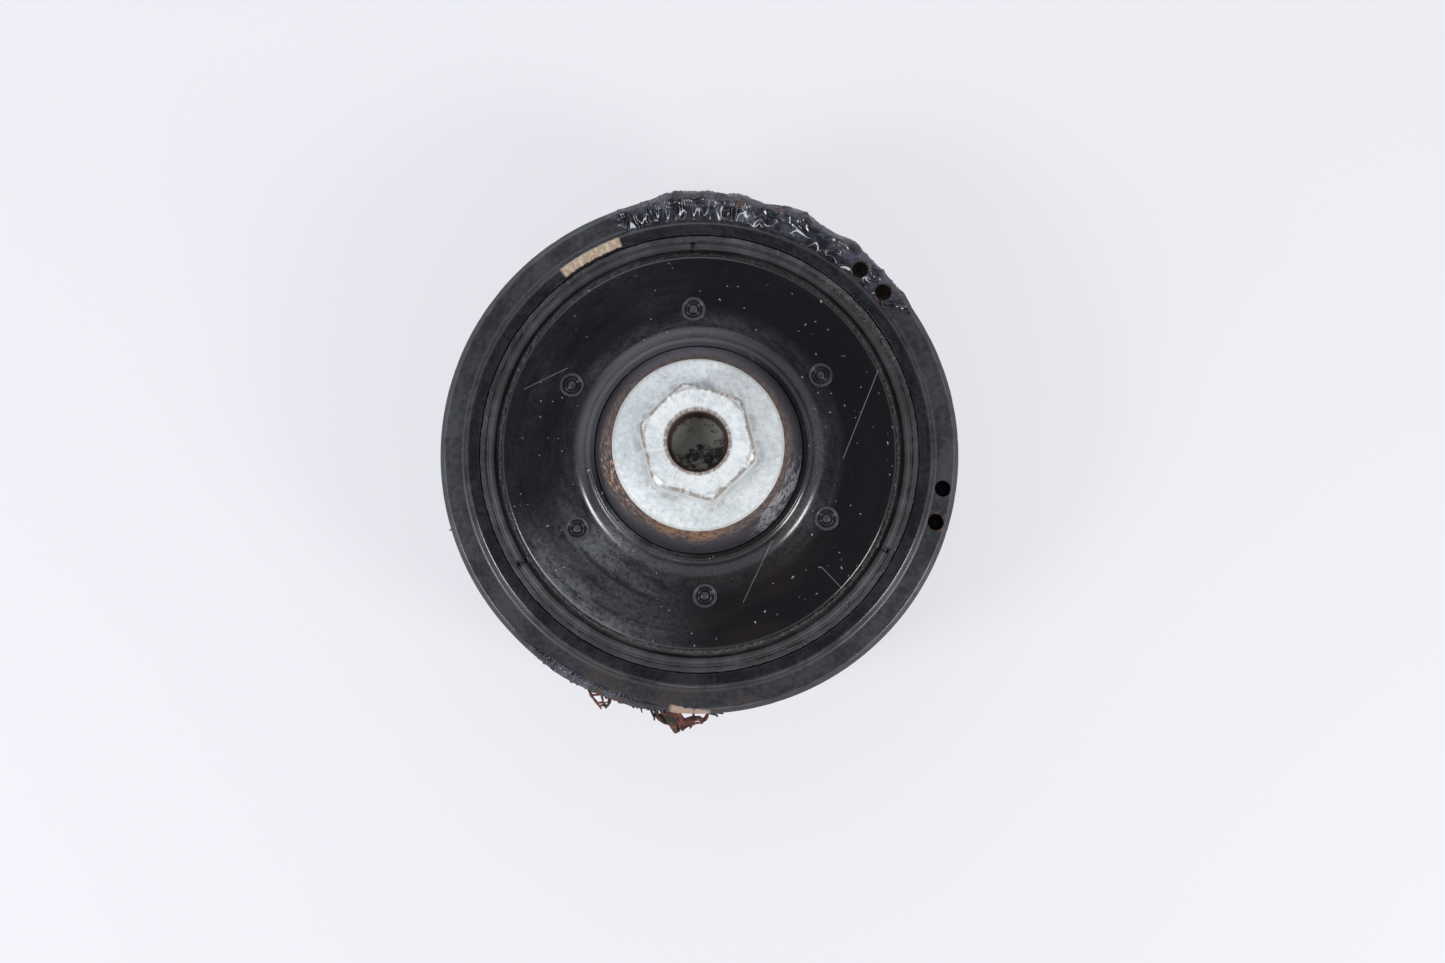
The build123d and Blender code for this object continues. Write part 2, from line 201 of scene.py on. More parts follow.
def turn_points(outline: Array, angles: Array) -> Array:
    """Carry an outline round the Z axis: x = r cos a, y = r sin a, z = z.

    Args:
        outline: (radius, height) rows.
        angles: the angles of the stations, in radians.

    Returns:
        Points indexed by station, outline point and x, y, z.
    """
    radius, height = outline[None, :, 0], outline[None, :, 1]
    cos, sin = np.cos(angles)[:, None], np.sin(angles)[:, None]
    return np.stack([radius * cos, radius * sin, height + 0 * cos], axis=-1)


def grid_quads(stations: int, points: int, wrap_stations: bool, wrap_points: bool) -> Array:
    """Four-sided faces of a grid, facing outwards for an anticlockwise outline turned about Z.

    Args:
        stations: how many rows the grid has.
        points: how many points each row has.
        wrap_stations: whether the last row joins the first.
        wrap_points: whether a row's last point joins its first.

    Returns:
        Rows of four vertex numbers.
    """
    last_station = stations if wrap_stations else stations - 1
    last_point = points if wrap_points else points - 1
    j, i = np.meshgrid(np.arange(last_station), np.arange(last_point), indexing="ij")
    j_next, i_next = (j + 1) % stations, (i + 1) % points
    quads = np.stack([j * points + i, j_next * points + i,
                      j_next * points + i_next, j * points + i_next], axis=-1)
    return quads.reshape(-1, 4)


def build_mesh(name: str, points: Array, faces: Sequence[Array], sharp_degrees: float = 40) \
        -> bpy.types.Object:
    """Make an object at the origin from points and arrays of faces.

    Args:
        name: the object's and the mesh's name.
        points: vertex positions, one row each.
        faces: arrays of vertex numbers, one row for each face; rows in one array are as long.
        sharp_degrees: edges that turn by more than this are shaded sharp.

    Returns:
        The linked object.
    """
    mesh = bpy.data.meshes.new(name)
    loops = np.concatenate([f.ravel() for f in faces]).astype(np.int32)
    sizes = np.concatenate([np.full(len(f), f.shape[1]) for f in faces]).astype(np.int32)
    starts = np.concatenate([[0], np.cumsum(sizes)[:-1]]).astype(np.int32)
    mesh.vertices.add(len(points))
    mesh.vertices.foreach_set("co", np.ascontiguousarray(points, dtype=np.float32).ravel())
    mesh.loops.add(len(loops))
    mesh.loops.foreach_set("vertex_index", loops)
    mesh.polygons.add(len(starts))
    mesh.polygons.foreach_set("loop_start", starts)
    mesh.polygons.foreach_set("use_smooth", np.ones(len(starts), dtype=bool))
    mesh.update(calc_edges=True)
    mesh.validate()
    mesh.set_sharp_from_angle(angle=math.radians(sharp_degrees))
    made = bpy.data.objects.new(name, mesh)
    bpy.context.scene.collection.objects.link(made)
    return made


def radius_of(points: Array) -> Array:
    """Distance of points from the Z axis."""
    return np.hypot(points[..., 0], points[..., 1])


def degrees_of(points: Array) -> Array:
    """Turn of points round the Z axis, in degrees from 0 to 360."""
    return np.degrees(np.arctan2(points[..., 1], points[..., 0])) % 360


def skin_faces(stations: int, count: int) -> tuple[Array, Array]:
    """Faces of a turned skin that two poles close, at its first ring and at its last.

    Args:
        stations: how many steps make the full turn.
        count: how many points each station has.

    Returns:
        The grid's quads and the poles' fans; the poles are the two points after the grid.
    """
    ring = np.arange(stations)
    ahead = (ring + 1) % stations
    pole = np.full(stations, stations * count)
    first = np.stack([ring * count, pole, ahead * count], axis=-1)
    last = np.stack([ring * count + count - 1, ahead * count + count - 1, pole + 1], axis=-1)
    return grid_quads(stations, count, True, False), np.concatenate([first, last])


def turned_ring(name: str, outline: Array, stations: int,
                shape: Callable[[Array], Array] | None = None) -> bpy.types.Object:
    """Turn a closed outline about Z into a ring, whose points a function may then move.

    Args:
        name: the piece's name.
        outline: (radius, height) rows, anticlockwise.
        stations: how many steps make the full turn.
        shape: takes the points' array and returns the moved points.

    Returns:
        The ring's object.
    """
    points = turn_points(outline, np.arange(stations) * TAU / stations)
    if shape is not None:
        points = shape(points)
    quads = grid_quads(stations, len(outline), True, True)
    return build_mesh(name, points.reshape(-1, 3), [quads])


def cut_away(piece: bpy.types.Object, cutter: bpy.types.Object, sharp_degrees: float = 40) -> None:
    """Subtract a cutter from a piece, keep the result as its mesh and remove the cutter.

    Args:
        piece: the object to cut.
        cutter: a closed shape; it is removed.
        sharp_degrees: edges that turn by more than this are shaded sharp.
    """
    cut = piece.modifiers.new("cut", "BOOLEAN")
    cut.object = cutter
    cut.operation = "DIFFERENCE"
    cut.solver = "EXACT"
    evaluated = piece.evaluated_get(bpy.context.evaluated_depsgraph_get())
    result = bpy.data.meshes.new_from_object(evaluated)
    old = piece.data
    piece.modifiers.clear()
    piece.data = result
    result.name = old.name + "_cut"
    bpy.data.meshes.remove(old)
    bpy.data.objects.remove(cutter)
    result.set_sharp_from_angle(angle=math.radians(sharp_degrees))


def drills(name: str, places: Sequence[tuple[float, float]], radius: float, low: float,
           high: float, point: float = 0.0, segments: int = 48) -> bpy.types.Object:
    """Round cutters that stand along Z, with a cone of height point below their low end.

    Args:
        name: the cutters' name.
        places: their axes.
        radius: their radius.
        low: the height of their low end.
        high: the height of their high end.
        point: the cone's height.
        segments: how many sides they have.

    Returns:
        All the cutters as one object.
    """
    angles = np.arange(segments) * TAU / segments
    wall = np.stack([radius * np.cos(angles), radius * np.sin(angles)], axis=-1)
    one = np.concatenate([np.column_stack([wall, np.full(segments, low)]),
                          np.column_stack([wall, np.full(segments, high)]),
                          [[0, 0, low - point], [0, 0, high]]])
    ring = np.arange(segments)
    ahead = (ring + 1) % segments
    sides = np.stack([ring, ahead, ahead + segments, ring + segments], axis=-1)
    bottom = np.stack([ahead, ring, np.full(segments, 2 * segments)], axis=-1)
    top = np.stack([ring + segments, ahead + segments, np.full(segments, 2 * segments + 1)], axis=-1)
    offsets = np.arange(len(places)) * len(one)
    points = np.concatenate([one + np.array([x, y, 0]) for x, y in places])
    quads = (sides[None] + offsets[:, None, None]).reshape(-1, 4)
    fans = (np.concatenate([bottom, top])[None] + offsets[:, None, None]).reshape(-1, 3)
    return build_mesh(name, points, [quads, fans])


def polar(radius: float, degrees: float) -> tuple[float, float]:
    """The x and y of a point at a radius and an angle in degrees from +X."""
    return radius * math.cos(math.radians(degrees)), radius * math.sin(math.radians(degrees))


# ------------------------------------------------------------------ material nodes

Socket = bpy.types.NodeSocket
Tree = bpy.types.NodeTree
Value = float | tuple | str | Socket

# the scale of a noise whose features are about 1 mm across
GRAIN = 0.5 / MM


class Do(Enum):
    """The kinds of node used: type name, the inputs that values go to in order, the output
    that is read, and the settings that are always the same."""

    PLUS = ("ShaderNodeMath", (0, 1), 0, {"operation": "ADD"})
    MINUS = ("ShaderNodeMath", (0, 1), 0, {"operation": "SUBTRACT"})
    TIMES = ("ShaderNodeMath", (0, 1), 0, {"operation": "MULTIPLY"})
    DIVIDE = ("ShaderNodeMath", (0, 1), 0, {"operation": "DIVIDE"})
    MAXIMUM = ("ShaderNodeMath", (0, 1), 0, {"operation": "MAXIMUM"})
    FLOORED_MODULO = ("ShaderNodeMath", (0, 1), 0, {"operation": "FLOORED_MODULO"})
    ARCTAN2 = ("ShaderNodeMath", (0, 1), 0, {"operation": "ARCTAN2"})
    ABSOLUTE = ("ShaderNodeMath", (0,), 0, {"operation": "ABSOLUTE"})
    COSINE = ("ShaderNodeMath", (0,), 0, {"operation": "COSINE"})
    SQRT = ("ShaderNodeMath", (0,), 0, {"operation": "SQRT"})
    VECTOR_MULTIPLY = ("ShaderNodeVectorMath", (0, 1), 0, {"operation": "MULTIPLY"})
    VECTOR_SUBTRACT = ("ShaderNodeVectorMath", (0, 1), 0, {"operation": "SUBTRACT"})
    VECTOR_MULTIPLY_ADD = ("ShaderNodeVectorMath", (0, 1, 2), 0, {"operation": "MULTIPLY_ADD"})
    VECTOR_SCALE = ("ShaderNodeVectorMath", (0, "Scale"), 0, {"operation": "SCALE"})
    DOT_PRODUCT = ("ShaderNodeVectorMath", (0, 1), "Value", {"operation": "DOT_PRODUCT"})
    DISTANCE = ("ShaderNodeVectorMath", (0, 1), "Value", {"operation": "DISTANCE"})
    # a smooth 0 to 1 as the value goes from the second number to the third, which may be less
    RAMP = ("ShaderNodeMapRange", ("Value", "From Min", "From Max", "To Min", "To Max"), "Result",
            {"interpolation_type": "SMOOTHSTEP"})
    # share, first colour, second colour; a share of 0 is the first and 1 the second
    MIX = ("ShaderNodeMix", (0, 6, 7), 2, {"data_type": "RGBA"})
    STRETCH = ("ShaderNodeMapping", ("Vector", "Scale"), 0, {})
    # lies mostly between 0.3 and 0.7
    NOISE = ("ShaderNodeTexNoise", ("Vector", "Scale", "Detail", "Roughness"), "Fac", {})
    CELLS = ("ShaderNodeTexVoronoi", ("Vector", "Scale", "Randomness"), "Distance",
             {"voronoi_dimensions": "2D"})
    LATHE_LINES = ("ShaderNodeTexWave", ("Vector", "Scale", "Distortion", "Detail"), "Fac",
                   {"bands_direction": "Z"})
    COORDINATES = ("ShaderNodeTexCoord", (), "Object", {})
    ATTRIBUTE = ("ShaderNodeAttribute", (), "Fac", {})
    SPLIT = ("ShaderNodeSeparateXYZ", (0,), "Z", {})
    SPLIT_COLOUR = ("ShaderNodeSeparateColor", (0,), 0, {})
    JOIN = ("ShaderNodeCombineXYZ", (0, 1, 2), 0, {})
    BUMP = ("ShaderNodeBump", ("Height", "Distance", "Strength"), 0, {})
    PRINCIPLED = ("ShaderNodeBsdfPrincipled", ("Base Color", "Roughness", "Metallic", "Normal"), 0, {})
    MATERIAL_OUT = ("ShaderNodeOutputMaterial", ("Surface",), None, {})


def add_node(tree: Tree, kind: Do, *values: Value, **settings: object) -> Socket | None:
    """Add a node with its settings, values and links.

    Args:
        tree: the node tree.
        kind: what the node does.
        values: numbers, hex colours, or output sockets that feed the kind's inputs, in order.
        settings: attributes of this node beside the kind's own.

    Returns:
        The kind's output; the socket's node has the others.
    """
    type_name, inputs, output, fixed = kind.value
    made = tree.nodes.new(type_name)
    for key, value in (fixed | settings).items():
        setattr(made, key, value)
    for key, value in zip(inputs, values):
        if isinstance(value, Socket):
            tree.links.new(value, made.inputs[key])
        else:
            made.inputs[key].default_value = hex_colour(value) if isinstance(value, str) else value
    return None if output is None else made.outputs[output]


@dataclass
class Fields:
    """The coordinates that every finish reads, worked out from Object coordinates.

    angle is in degrees from 0 to 360, and flat is the place with no height. around is (60 mm
    times the cosine of the turn, 60 mm times its sine, radius plus height): a pattern on it can
    be stretched round the axis and has no seam. add is add_node for this tree.
    """

    tree: Tree
    add: Callable[..., Socket] = field(init=False)
    place: Socket = field(init=False)
    flat: Socket = field(init=False)
    radius: Socket = field(init=False)
    angle: Socket = field(init=False)
    height: Socket = field(init=False)
    around: Socket = field(init=False)

    def __post_init__(self) -> None:
        """Make the nodes that work the coordinates out."""
        self.add = add = partial(add_node, self.tree)
        self.place = add(Do.COORDINATES)
        self.flat = add(Do.VECTOR_MULTIPLY, self.place, (1, 1, 0))
        x, y, self.height = add(Do.SPLIT, self.place).node.outputs
        self.radius = add(Do.SQRT, add(Do.PLUS, add(Do.TIMES, x, x), add(Do.TIMES, y, y)))
        degrees = add(Do.TIMES, add(Do.ARCTAN2, y, x), 180 / math.pi)
        self.angle = add(Do.FLOORED_MODULO, degrees, 360.0)
        safe = add(Do.MAXIMUM, self.radius, 0.01 * MM)
        around = [add(Do.TIMES, add(Do.DIVIDE, side, safe), 60 * MM) for side in (x, y)]
        self.around = add(Do.JOIN, *around, add(Do.PLUS, self.radius, self.height))

    def sector(self, first: float, last: float, ramp: float) -> Socket:
        """One between two angles, with soft ends.

        Args:
            first: where it starts, in degrees; it may be larger than last.
            last: where it ends.
            ramp: how many degrees each soft end takes.

        Returns:
            The mask.
        """
        half = ((last - first) % 360) / 2
        middle = (first + half) % 360
        away = self.add(Do.FLOORED_MODULO, self.add(Do.MINUS, self.angle, middle - 180), 360.0)
        away = self.add(Do.ABSOLUTE, self.add(Do.MINUS, away, 180.0))
        return self.add(Do.RAMP, away, half + ramp / 2, half - ramp / 2)

    def band(self, value: Socket, low: float, high: float, ramp: float) -> Socket:
        """One where a value is between low and high, with soft ends.

        Args:
            value: the value.
            low: the band's lower edge.
            high: its upper edge.
            ramp: how wide each soft end is.

        Returns:
            The mask.
        """
        rise = self.add(Do.RAMP, value, low - ramp / 2, low + ramp / 2)
        fall = self.add(Do.RAMP, value, high + ramp / 2, high - ramp / 2)
        return self.add(Do.TIMES, rise, fall)

    def near(self, spot: tuple[float, float], low: float, high: float) -> Socket:
        """One within low metres of a point seen from the front, falling to zero at high."""
        away = self.add(Do.DISTANCE, self.flat, (*spot, 0))
        return self.add(Do.RAMP, away, high, low)


@dataclass
class Surface:
    """What a finish hands to the shader: sockets or plain values."""

    colour: Socket | tuple
    roughness: Socket | float
    metallic: Socket | float = 0.0
    height: Socket | None = None
    relief: float = 0.0


class Finish:
    """A real material and how its surface was made. Subclasses describe the surface."""

    name = "finish"

    def surface(self, at: Fields) -> Surface:
        """Describe the surface with nodes."""
        raise NotImplementedError

    def material(self) -> bpy.types.Material:
        """Make the material, or return it if it has been made before.

        Returns:
            The material.
        """
        label = "look_" + self.name
        found = bpy.data.materials.get(label)
        if found:
            return found
        made = bpy.data.materials.new(label)
        made.use_nodes = True
        tree = made.node_tree
        tree.nodes.clear()
        at = Fields(tree)
        surface = self.surface(at)
        values = [surface.colour, surface.roughness, surface.metallic]
        if surface.height is not None:
            values.append(at.add(Do.BUMP, surface.height, surface.relief, 1.0))
        at.add(Do.MATERIAL_OUT, at.add(Do.PRINCIPLED, *values))
        return made

    def dress(self, piece: bpy.types.Object) -> None:
        """Give the material to every slot of a piece.

        Args:
            piece: what gets it.
        """
        if not piece.material_slots:
            piece.data.materials.append(self.material())
            return
        for slot in piece.material_slots:
            slot.material = self.material()


@dataclass(frozen=True)
class Scratch:
    """A straight scratch seen from the front: its two ends and its width, in metres."""

    start: tuple[float, float]
    end: tuple[float, float]
    width: float = 0.22 * MM
    strength: float = 1.0

    def mask(self, at: Fields) -> Socket:
        """One on the scratch: the distance to the segment is compared with its width.

        Args:
            at: the coordinates.

        Returns:
            The mask.
        """
        add = at.add
        run = (self.end[0] - self.start[0], self.end[1] - self.start[1], 0)
        offset = add(Do.VECTOR_SUBTRACT, at.flat, (*self.start, 0))
        share = add(Do.DIVIDE, add(Do.DOT_PRODUCT, offset, run), run[0] ** 2 + run[1] ** 2,
                    use_clamp=True)
        away = add(Do.DISTANCE, offset, add(Do.VECTOR_SCALE, run, share))
        return add(Do.TIMES, add(Do.RAMP, away, self.width, 0.25 * self.width), self.strength)


@dataclass(frozen=True)
class StoveEnamel(Finish):
    """Black stove enamel on pressed steel: a smooth, glossy film with handling haze, dust
    and a few scratches, and a painted sheen on the collar's bend on its upper left side."""

    name: str = "stove_enamel"
    base: str = "#0a0b0e"
    haze_and_sheen: str = "#5c5e63"
    brown: str = "#1b1512"
    dust: str = "#a3a5a8"
    relief: float = 0.0025 * MM
    scratches: tuple[Scratch, ...] = (
        Scratch((53.7 * MM, 25.8 * MM), (42.6 * MM, -2.0 * MM), 0.15 * MM, 0.6),
        Scratch((-51.8 * MM, 18.6 * MM), (-39.0 * MM, 24.9 * MM), 0.16 * MM, 0.4),
        Scratch((45.0 * MM, -43.5 * MM), (36.0 * MM, -34.0 * MM), 0.16 * MM, 0.35),
        Scratch((21.5 * MM, -26.5 * MM), (13.0 * MM, -44.5 * MM), 0.14 * MM, 0.4),
    )

    def surface(self, at: Fields) -> Surface:
        """Blend the enamel with haze, brown tint, dust and scratches, under a fine orange peel; the haze
        colour also paints a sheen on the collar's bend.

        Args:
            at: the coordinates.

        Returns:
            The surface.
        """
        add = at.add
        smoke = add(Do.NOISE, add(Do.STRETCH, at.around, (0.55, 0.55, 2.2)), GRAIN / 9, 5, 0.62)
        fine = add(Do.NOISE, at.place, GRAIN / 1.6, 4, 0.65)
        grain = add(Do.NOISE, at.place, GRAIN / 0.5, 3, 0.7)
        lower = add(Do.MAXIMUM, at.sector(206, 260, 44), add(Do.TIMES, at.sector(95, 200, 50), 0.18))
        lower = add(Do.MAXIMUM, lower, 0.045)
        inner = at.band(at.radius, 32 * MM, 42 * MM, 6 * MM)
        cloud = add(Do.RAMP, smoke, 0.42, 0.68)
        spread = add(Do.MAXIMUM, lower, add(Do.TIMES, inner, 0.4))
        # painted sheen: a grey reflection painted on the collar's bend, from 29 to 36 mm, on its upper
        # left side only
        collar = add(Do.TIMES, at.band(at.radius, 29 * MM, 36 * MM, 3 * MM), at.sector(60, 190, 50))
        wiped = add(Do.NOISE, add(Do.STRETCH, at.around, (0.25, 0.25, 2.4)), GRAIN / 3, 4, 0.6)
        haze_and_sheen = add(Do.PLUS, add(Do.TIMES, cloud, 0.50), 0.36)
        streak = add(Do.PLUS, add(Do.TIMES, add(Do.RAMP, wiped, 0.34, 0.50), 0.6), 0.4)
        haze_and_sheen = add(Do.TIMES, haze_and_sheen, add(Do.TIMES, spread, streak))
        haze_and_sheen = add(Do.TIMES, haze_and_sheen, add(Do.RAMP, fine, -0.15, 0.55))
        haze_and_sheen = add(Do.TIMES, haze_and_sheen, add(Do.RAMP, grain, 0.15, 0.66), use_clamp=True)
        # the painted collar sheen joins the handling haze here
        haze_and_sheen = add(Do.MAXIMUM, haze_and_sheen, add(Do.TIMES, collar, 0.45))
        colour = add(Do.MIX, haze_and_sheen, self.base, self.haze_and_sheen)
        rusty = add(Do.TIMES, at.sector(262, 318, 36), add(Do.RAMP, smoke, 0.4, 0.62))
        colour = add(Do.MIX, add(Do.TIMES, rusty, 0.7), colour, self.brown)
        drift = add(Do.NOISE, at.place, GRAIN / 4, 1.0).node.outputs["Color"]
        strewn = add(Do.VECTOR_MULTIPLY_ADD, drift, (9 * MM,) * 3, at.place)
        cells = add(Do.CELLS, strewn, 1 / (2.3 * MM), 1.0)
        pick = add(Do.SPLIT_COLOUR, cells.node.outputs["Color"])
        marks = add(Do.TIMES, add(Do.RAMP, cells, 0.12, 0.06), add(Do.RAMP, pick, 0.89, 1.0))
        for scratch in self.scratches:
            marks = add(Do.MAXIMUM, marks, scratch.mask(at))
        colour = add(Do.MIX, add(Do.TIMES, marks, 0.75), colour, self.dust)
        roughness = add(Do.PLUS, 0.17, add(Do.TIMES, haze_and_sheen, 0.30))
        roughness = add(Do.PLUS, roughness, add(Do.TIMES, marks, 0.3))
        peel = add(Do.NOISE, at.place, GRAIN / 0.9, 2, 0.5)
        height = add(Do.MINUS, peel, add(Do.TIMES, marks, 0.6))
        return Surface(colour, roughness, 0.0, height, self.relief)


@dataclass(frozen=True)
class RivetEnamel(Finish):
    """Black enamel rubbed thin on the rolled lip of a rivet: glossy, with a greyer edge that is partly
    wear and partly a painted highlight.
    """

    name: str = "rivet_enamel"
    base: str = "#141518"
    rubbed_and_highlight: str = "#6c6e74"
    level: float = 53.15 * MM

    def surface(self, at: Fields) -> Surface:
        """Blend enamel with the rubbed crests, by height; their grey is partly a painted highlight.

        Args:
            at: the coordinates.

        Returns:
            The surface.
        """
        add = at.add
        fine = add(Do.NOISE, at.place, GRAIN / 0.6, 3, 0.6)
        # painted highlight: the raised crests are greyed, as worn enamel and as the lamps' highlight on
        # the lips
        crest = add(Do.RAMP, at.height, self.level, self.level + 0.5 * MM)
        crest = add(Do.TIMES, crest, add(Do.RAMP, fine, 0.2, 0.5))
        colour = add(Do.MIX, add(Do.TIMES, crest, 0.20), self.base, self.rubbed_and_highlight)
        roughness = add(Do.PLUS, 0.20, add(Do.TIMES, crest, 0.12))
        return Surface(colour, roughness)


@dataclass(frozen=True)
class RingPaint(Finish):
    """Satin black paint on turned cast iron: blotchy where it has weathered, glossier on the
    raised band, worn to bare metal in a patch, with rust round the balance drillings, and a
    grey line on the outer chamfer and the band's step that is partly edge wear and partly a
    painted highlight."""

    name: str = "ring_paint"
    base: str = "#1e2024"
    light: str = "#2f3136"
    band_colour: str = "#101115"
    brown: str = "#2c2422"
    bare: str = "#8f7c69"
    pale: str = "#a99b89"
    stained: str = "#8a7562"
    scuffed: str = "#8d7a6b"
    rust: str = "#4a2e22"
    rubbed_and_highlight: str = "#6e7077"
    outer: float = 77.5 * MM
    band_edge: float = 69.7 * MM
    patch: tuple[float, float, float, float] = (110.6, 127.2, 66.1 * MM, 69.1 * MM)
    soil: str = "#33251c"
    front: float = 48.0 * MM
    holes: tuple[tuple[float, float], ...] = ()
    choked: tuple[tuple[float, float], ...] = ()

    def surface(self, at: Fields) -> Surface:
        """Blend the paint's blotches, the band, the worn edges with their painted highlight, the bare
        patches and the rust by place.

        Args:
            at: the coordinates.

        Returns:
            The surface.
        """
        add = at.add
        blotch = add(Do.NOISE, add(Do.STRETCH, at.around, (1, 1, 1.5)), GRAIN / 5, 5, 0.62)
        fine = add(Do.NOISE, at.place, GRAIN / 0.8, 4, 0.6)
        mottle = add(Do.RAMP, add(Do.PLUS, add(Do.TIMES, blotch, 0.6), add(Do.TIMES, fine, 0.4)), 0.38,
                     0.62)
        colour = add(Do.MIX, mottle, self.base, self.light)
        low_side = add(Do.TIMES, at.sector(225, 300, 50), add(Do.RAMP, blotch, 0.42, 0.6))
        colour = add(Do.MIX, add(Do.TIMES, low_side, 0.75), colour, self.brown)
        on_band = add(Do.RAMP, at.radius, self.band_edge + 0.5 * MM, self.band_edge - 0.3 * MM)
        band_shade = add(Do.MIX, add(Do.TIMES, mottle, 0.35), self.band_colour, self.light)
        colour = add(Do.MIX, on_band, colour, band_shade)
        # painted highlight: the outer chamfer and the band's step are lightened all round, as edge wear
        # and as the lamps' highlight lines on them
        edges = add(Do.MAXIMUM, at.band(at.radius, self.outer - 1.75 * MM, self.outer - 1.35 * MM,
                                        0.3 * MM),
                    at.band(at.radius, self.band_edge - 0.35 * MM, self.band_edge + 0.05 * MM, 0.3 * MM))
        edges = add(Do.TIMES, edges, add(Do.RAMP, blotch, 0.36, 0.58))
        colour = add(Do.MIX, add(Do.TIMES, edges, 0.30), colour, self.rubbed_and_highlight)
        first, last, inner, outer = self.patch
        wobble = add(Do.TIMES, add(Do.MINUS, fine, 0.5), 0.9 * MM)
        edge = add(Do.PLUS, at.radius, wobble)
        patch = add(Do.TIMES, at.sector(first, last, 0.9), at.band(edge, inner, outer, 0.25 * MM))
        bare = add(Do.MIX, add(Do.RAMP, fine, 0.4, 0.62), self.bare, self.pale)
        bare = add(Do.MIX, add(Do.RAMP, blotch, 0.52, 0.66), bare, self.stained)
        colour = add(Do.MIX, patch, colour, bare)
        wedge = add(Do.TIMES, add(Do.MINUS, at.angle, 263.6), 0.14 * MM)
        wedge = add(Do.MINUS, edge, wedge)
        worn = add(Do.TIMES, at.sector(263.6, 272.2, 1.2), at.band(wedge, 75.2 * MM, 77.4 * MM, 0.4 * MM))
        worn = add(Do.TIMES, worn, add(Do.RAMP, fine, 0.26, 0.40))
        colour = add(Do.MIX, worn, colour, self.scuffed)
        rust: Socket | float = 0.0
        for hole in self.holes:
            rust = add(Do.MAXIMUM, rust, at.near(hole, 2.6 * MM, 4.0 * MM))
        rust = add(Do.TIMES, rust, add(Do.RAMP, fine, 0.46, 0.58), use_clamp=True)
        colour = add(Do.MIX, add(Do.TIMES, rust, 0.85), colour, self.rust)
        sunk = add(Do.RAMP, at.height, self.front - 0.5 * MM, self.front - 1.2 * MM)
        soil: Socket | float = 0.0
        for hole in self.choked:
            soil = add(Do.MAXIMUM, soil, at.near(hole, 2.5 * MM, 2.7 * MM))
        soil = add(Do.TIMES, add(Do.TIMES, soil, sunk), add(Do.RAMP, fine, 0.3, 0.55))
        colour = add(Do.MIX, soil, colour, self.soil)
        roughness = add(Do.PLUS, 0.34, add(Do.TIMES, mottle, 0.14))
        roughness = add(Do.MINUS, roughness, add(Do.TIMES, on_band, 0.16))
        roughness = add(Do.MINUS, roughness, add(Do.TIMES, edges, 0.14))
        rough_spots = add(Do.MAXIMUM, add(Do.MAXIMUM, patch, worn), rust)
        roughness = add(Do.PLUS, roughness, add(Do.TIMES, rough_spots, 0.3))
        lathe = add(Do.LATHE_LINES, at.around, 0.3 / MM, 0.4)
        height = add(Do.PLUS, add(Do.TIMES, lathe, 0.25), fine)
        height = add(Do.MINUS, height, add(Do.TIMES, rough_spots, 0.7))
        return Surface(colour, roughness, 0.0, height, 0.014 * MM)


@dataclass(frozen=True)
class MouldedRubber(Finish):
    """Moulded natural rubber, carbon black: matt, with bloom and grit in its groove."""

    name: str = "moulded_rubber"
    base: str = "#222124"
    bloom: str = "#37363a"
    grit: str = "#5b5650"

    def surface(self, at: Fields) -> Surface:
        """Blend rubber, bloom and grit.

        Args:
            at: the coordinates.

        Returns:
            The surface.
        """
        add = at.add
        cloud = add(Do.NOISE, at.around, GRAIN / 4, 4, 0.6)
        fine = add(Do.NOISE, at.place, GRAIN / 0.45, 3, 0.6)
        colour = add(Do.MIX, add(Do.RAMP, cloud, 0.4, 0.68), self.base, self.bloom)
        dusty = add(Do.TIMES, at.sector(22, 55, 12), at.band(at.radius, 63.0 * MM, 65.4 * MM, 0.4 * MM))
        dusty = add(Do.TIMES, dusty, add(Do.TIMES, add(Do.RAMP, fine, 0.44, 0.66), 0.7))
        colour = add(Do.MIX, dusty, colour, self.grit)
        return Surface(colour, 0.55, 0.0, fine, 0.05 * MM)


@dataclass(frozen=True)
class RubberFlash(Finish):
    """Torn moulding flash: rubber skin rubbed grey, rough and full of dust."""

    name: str = "rubber_flash"
    base: str = "#1d1d1f"
    pale: str = "#4a4847"

    def surface(self, at: Fields) -> Surface:
        """Blend dark rubber with rubbed, pale crests.

        Args:
            at: the coordinates.

        Returns:
            The surface.
        """
        add = at.add
        fine = add(Do.NOISE, at.place, GRAIN / 0.5, 5, 0.7)
        colour = add(Do.MIX, add(Do.RAMP, fine, 0.44, 0.66), self.base, self.pale)
        return Surface(colour, 0.85, 0.0, fine, 0.15 * MM)


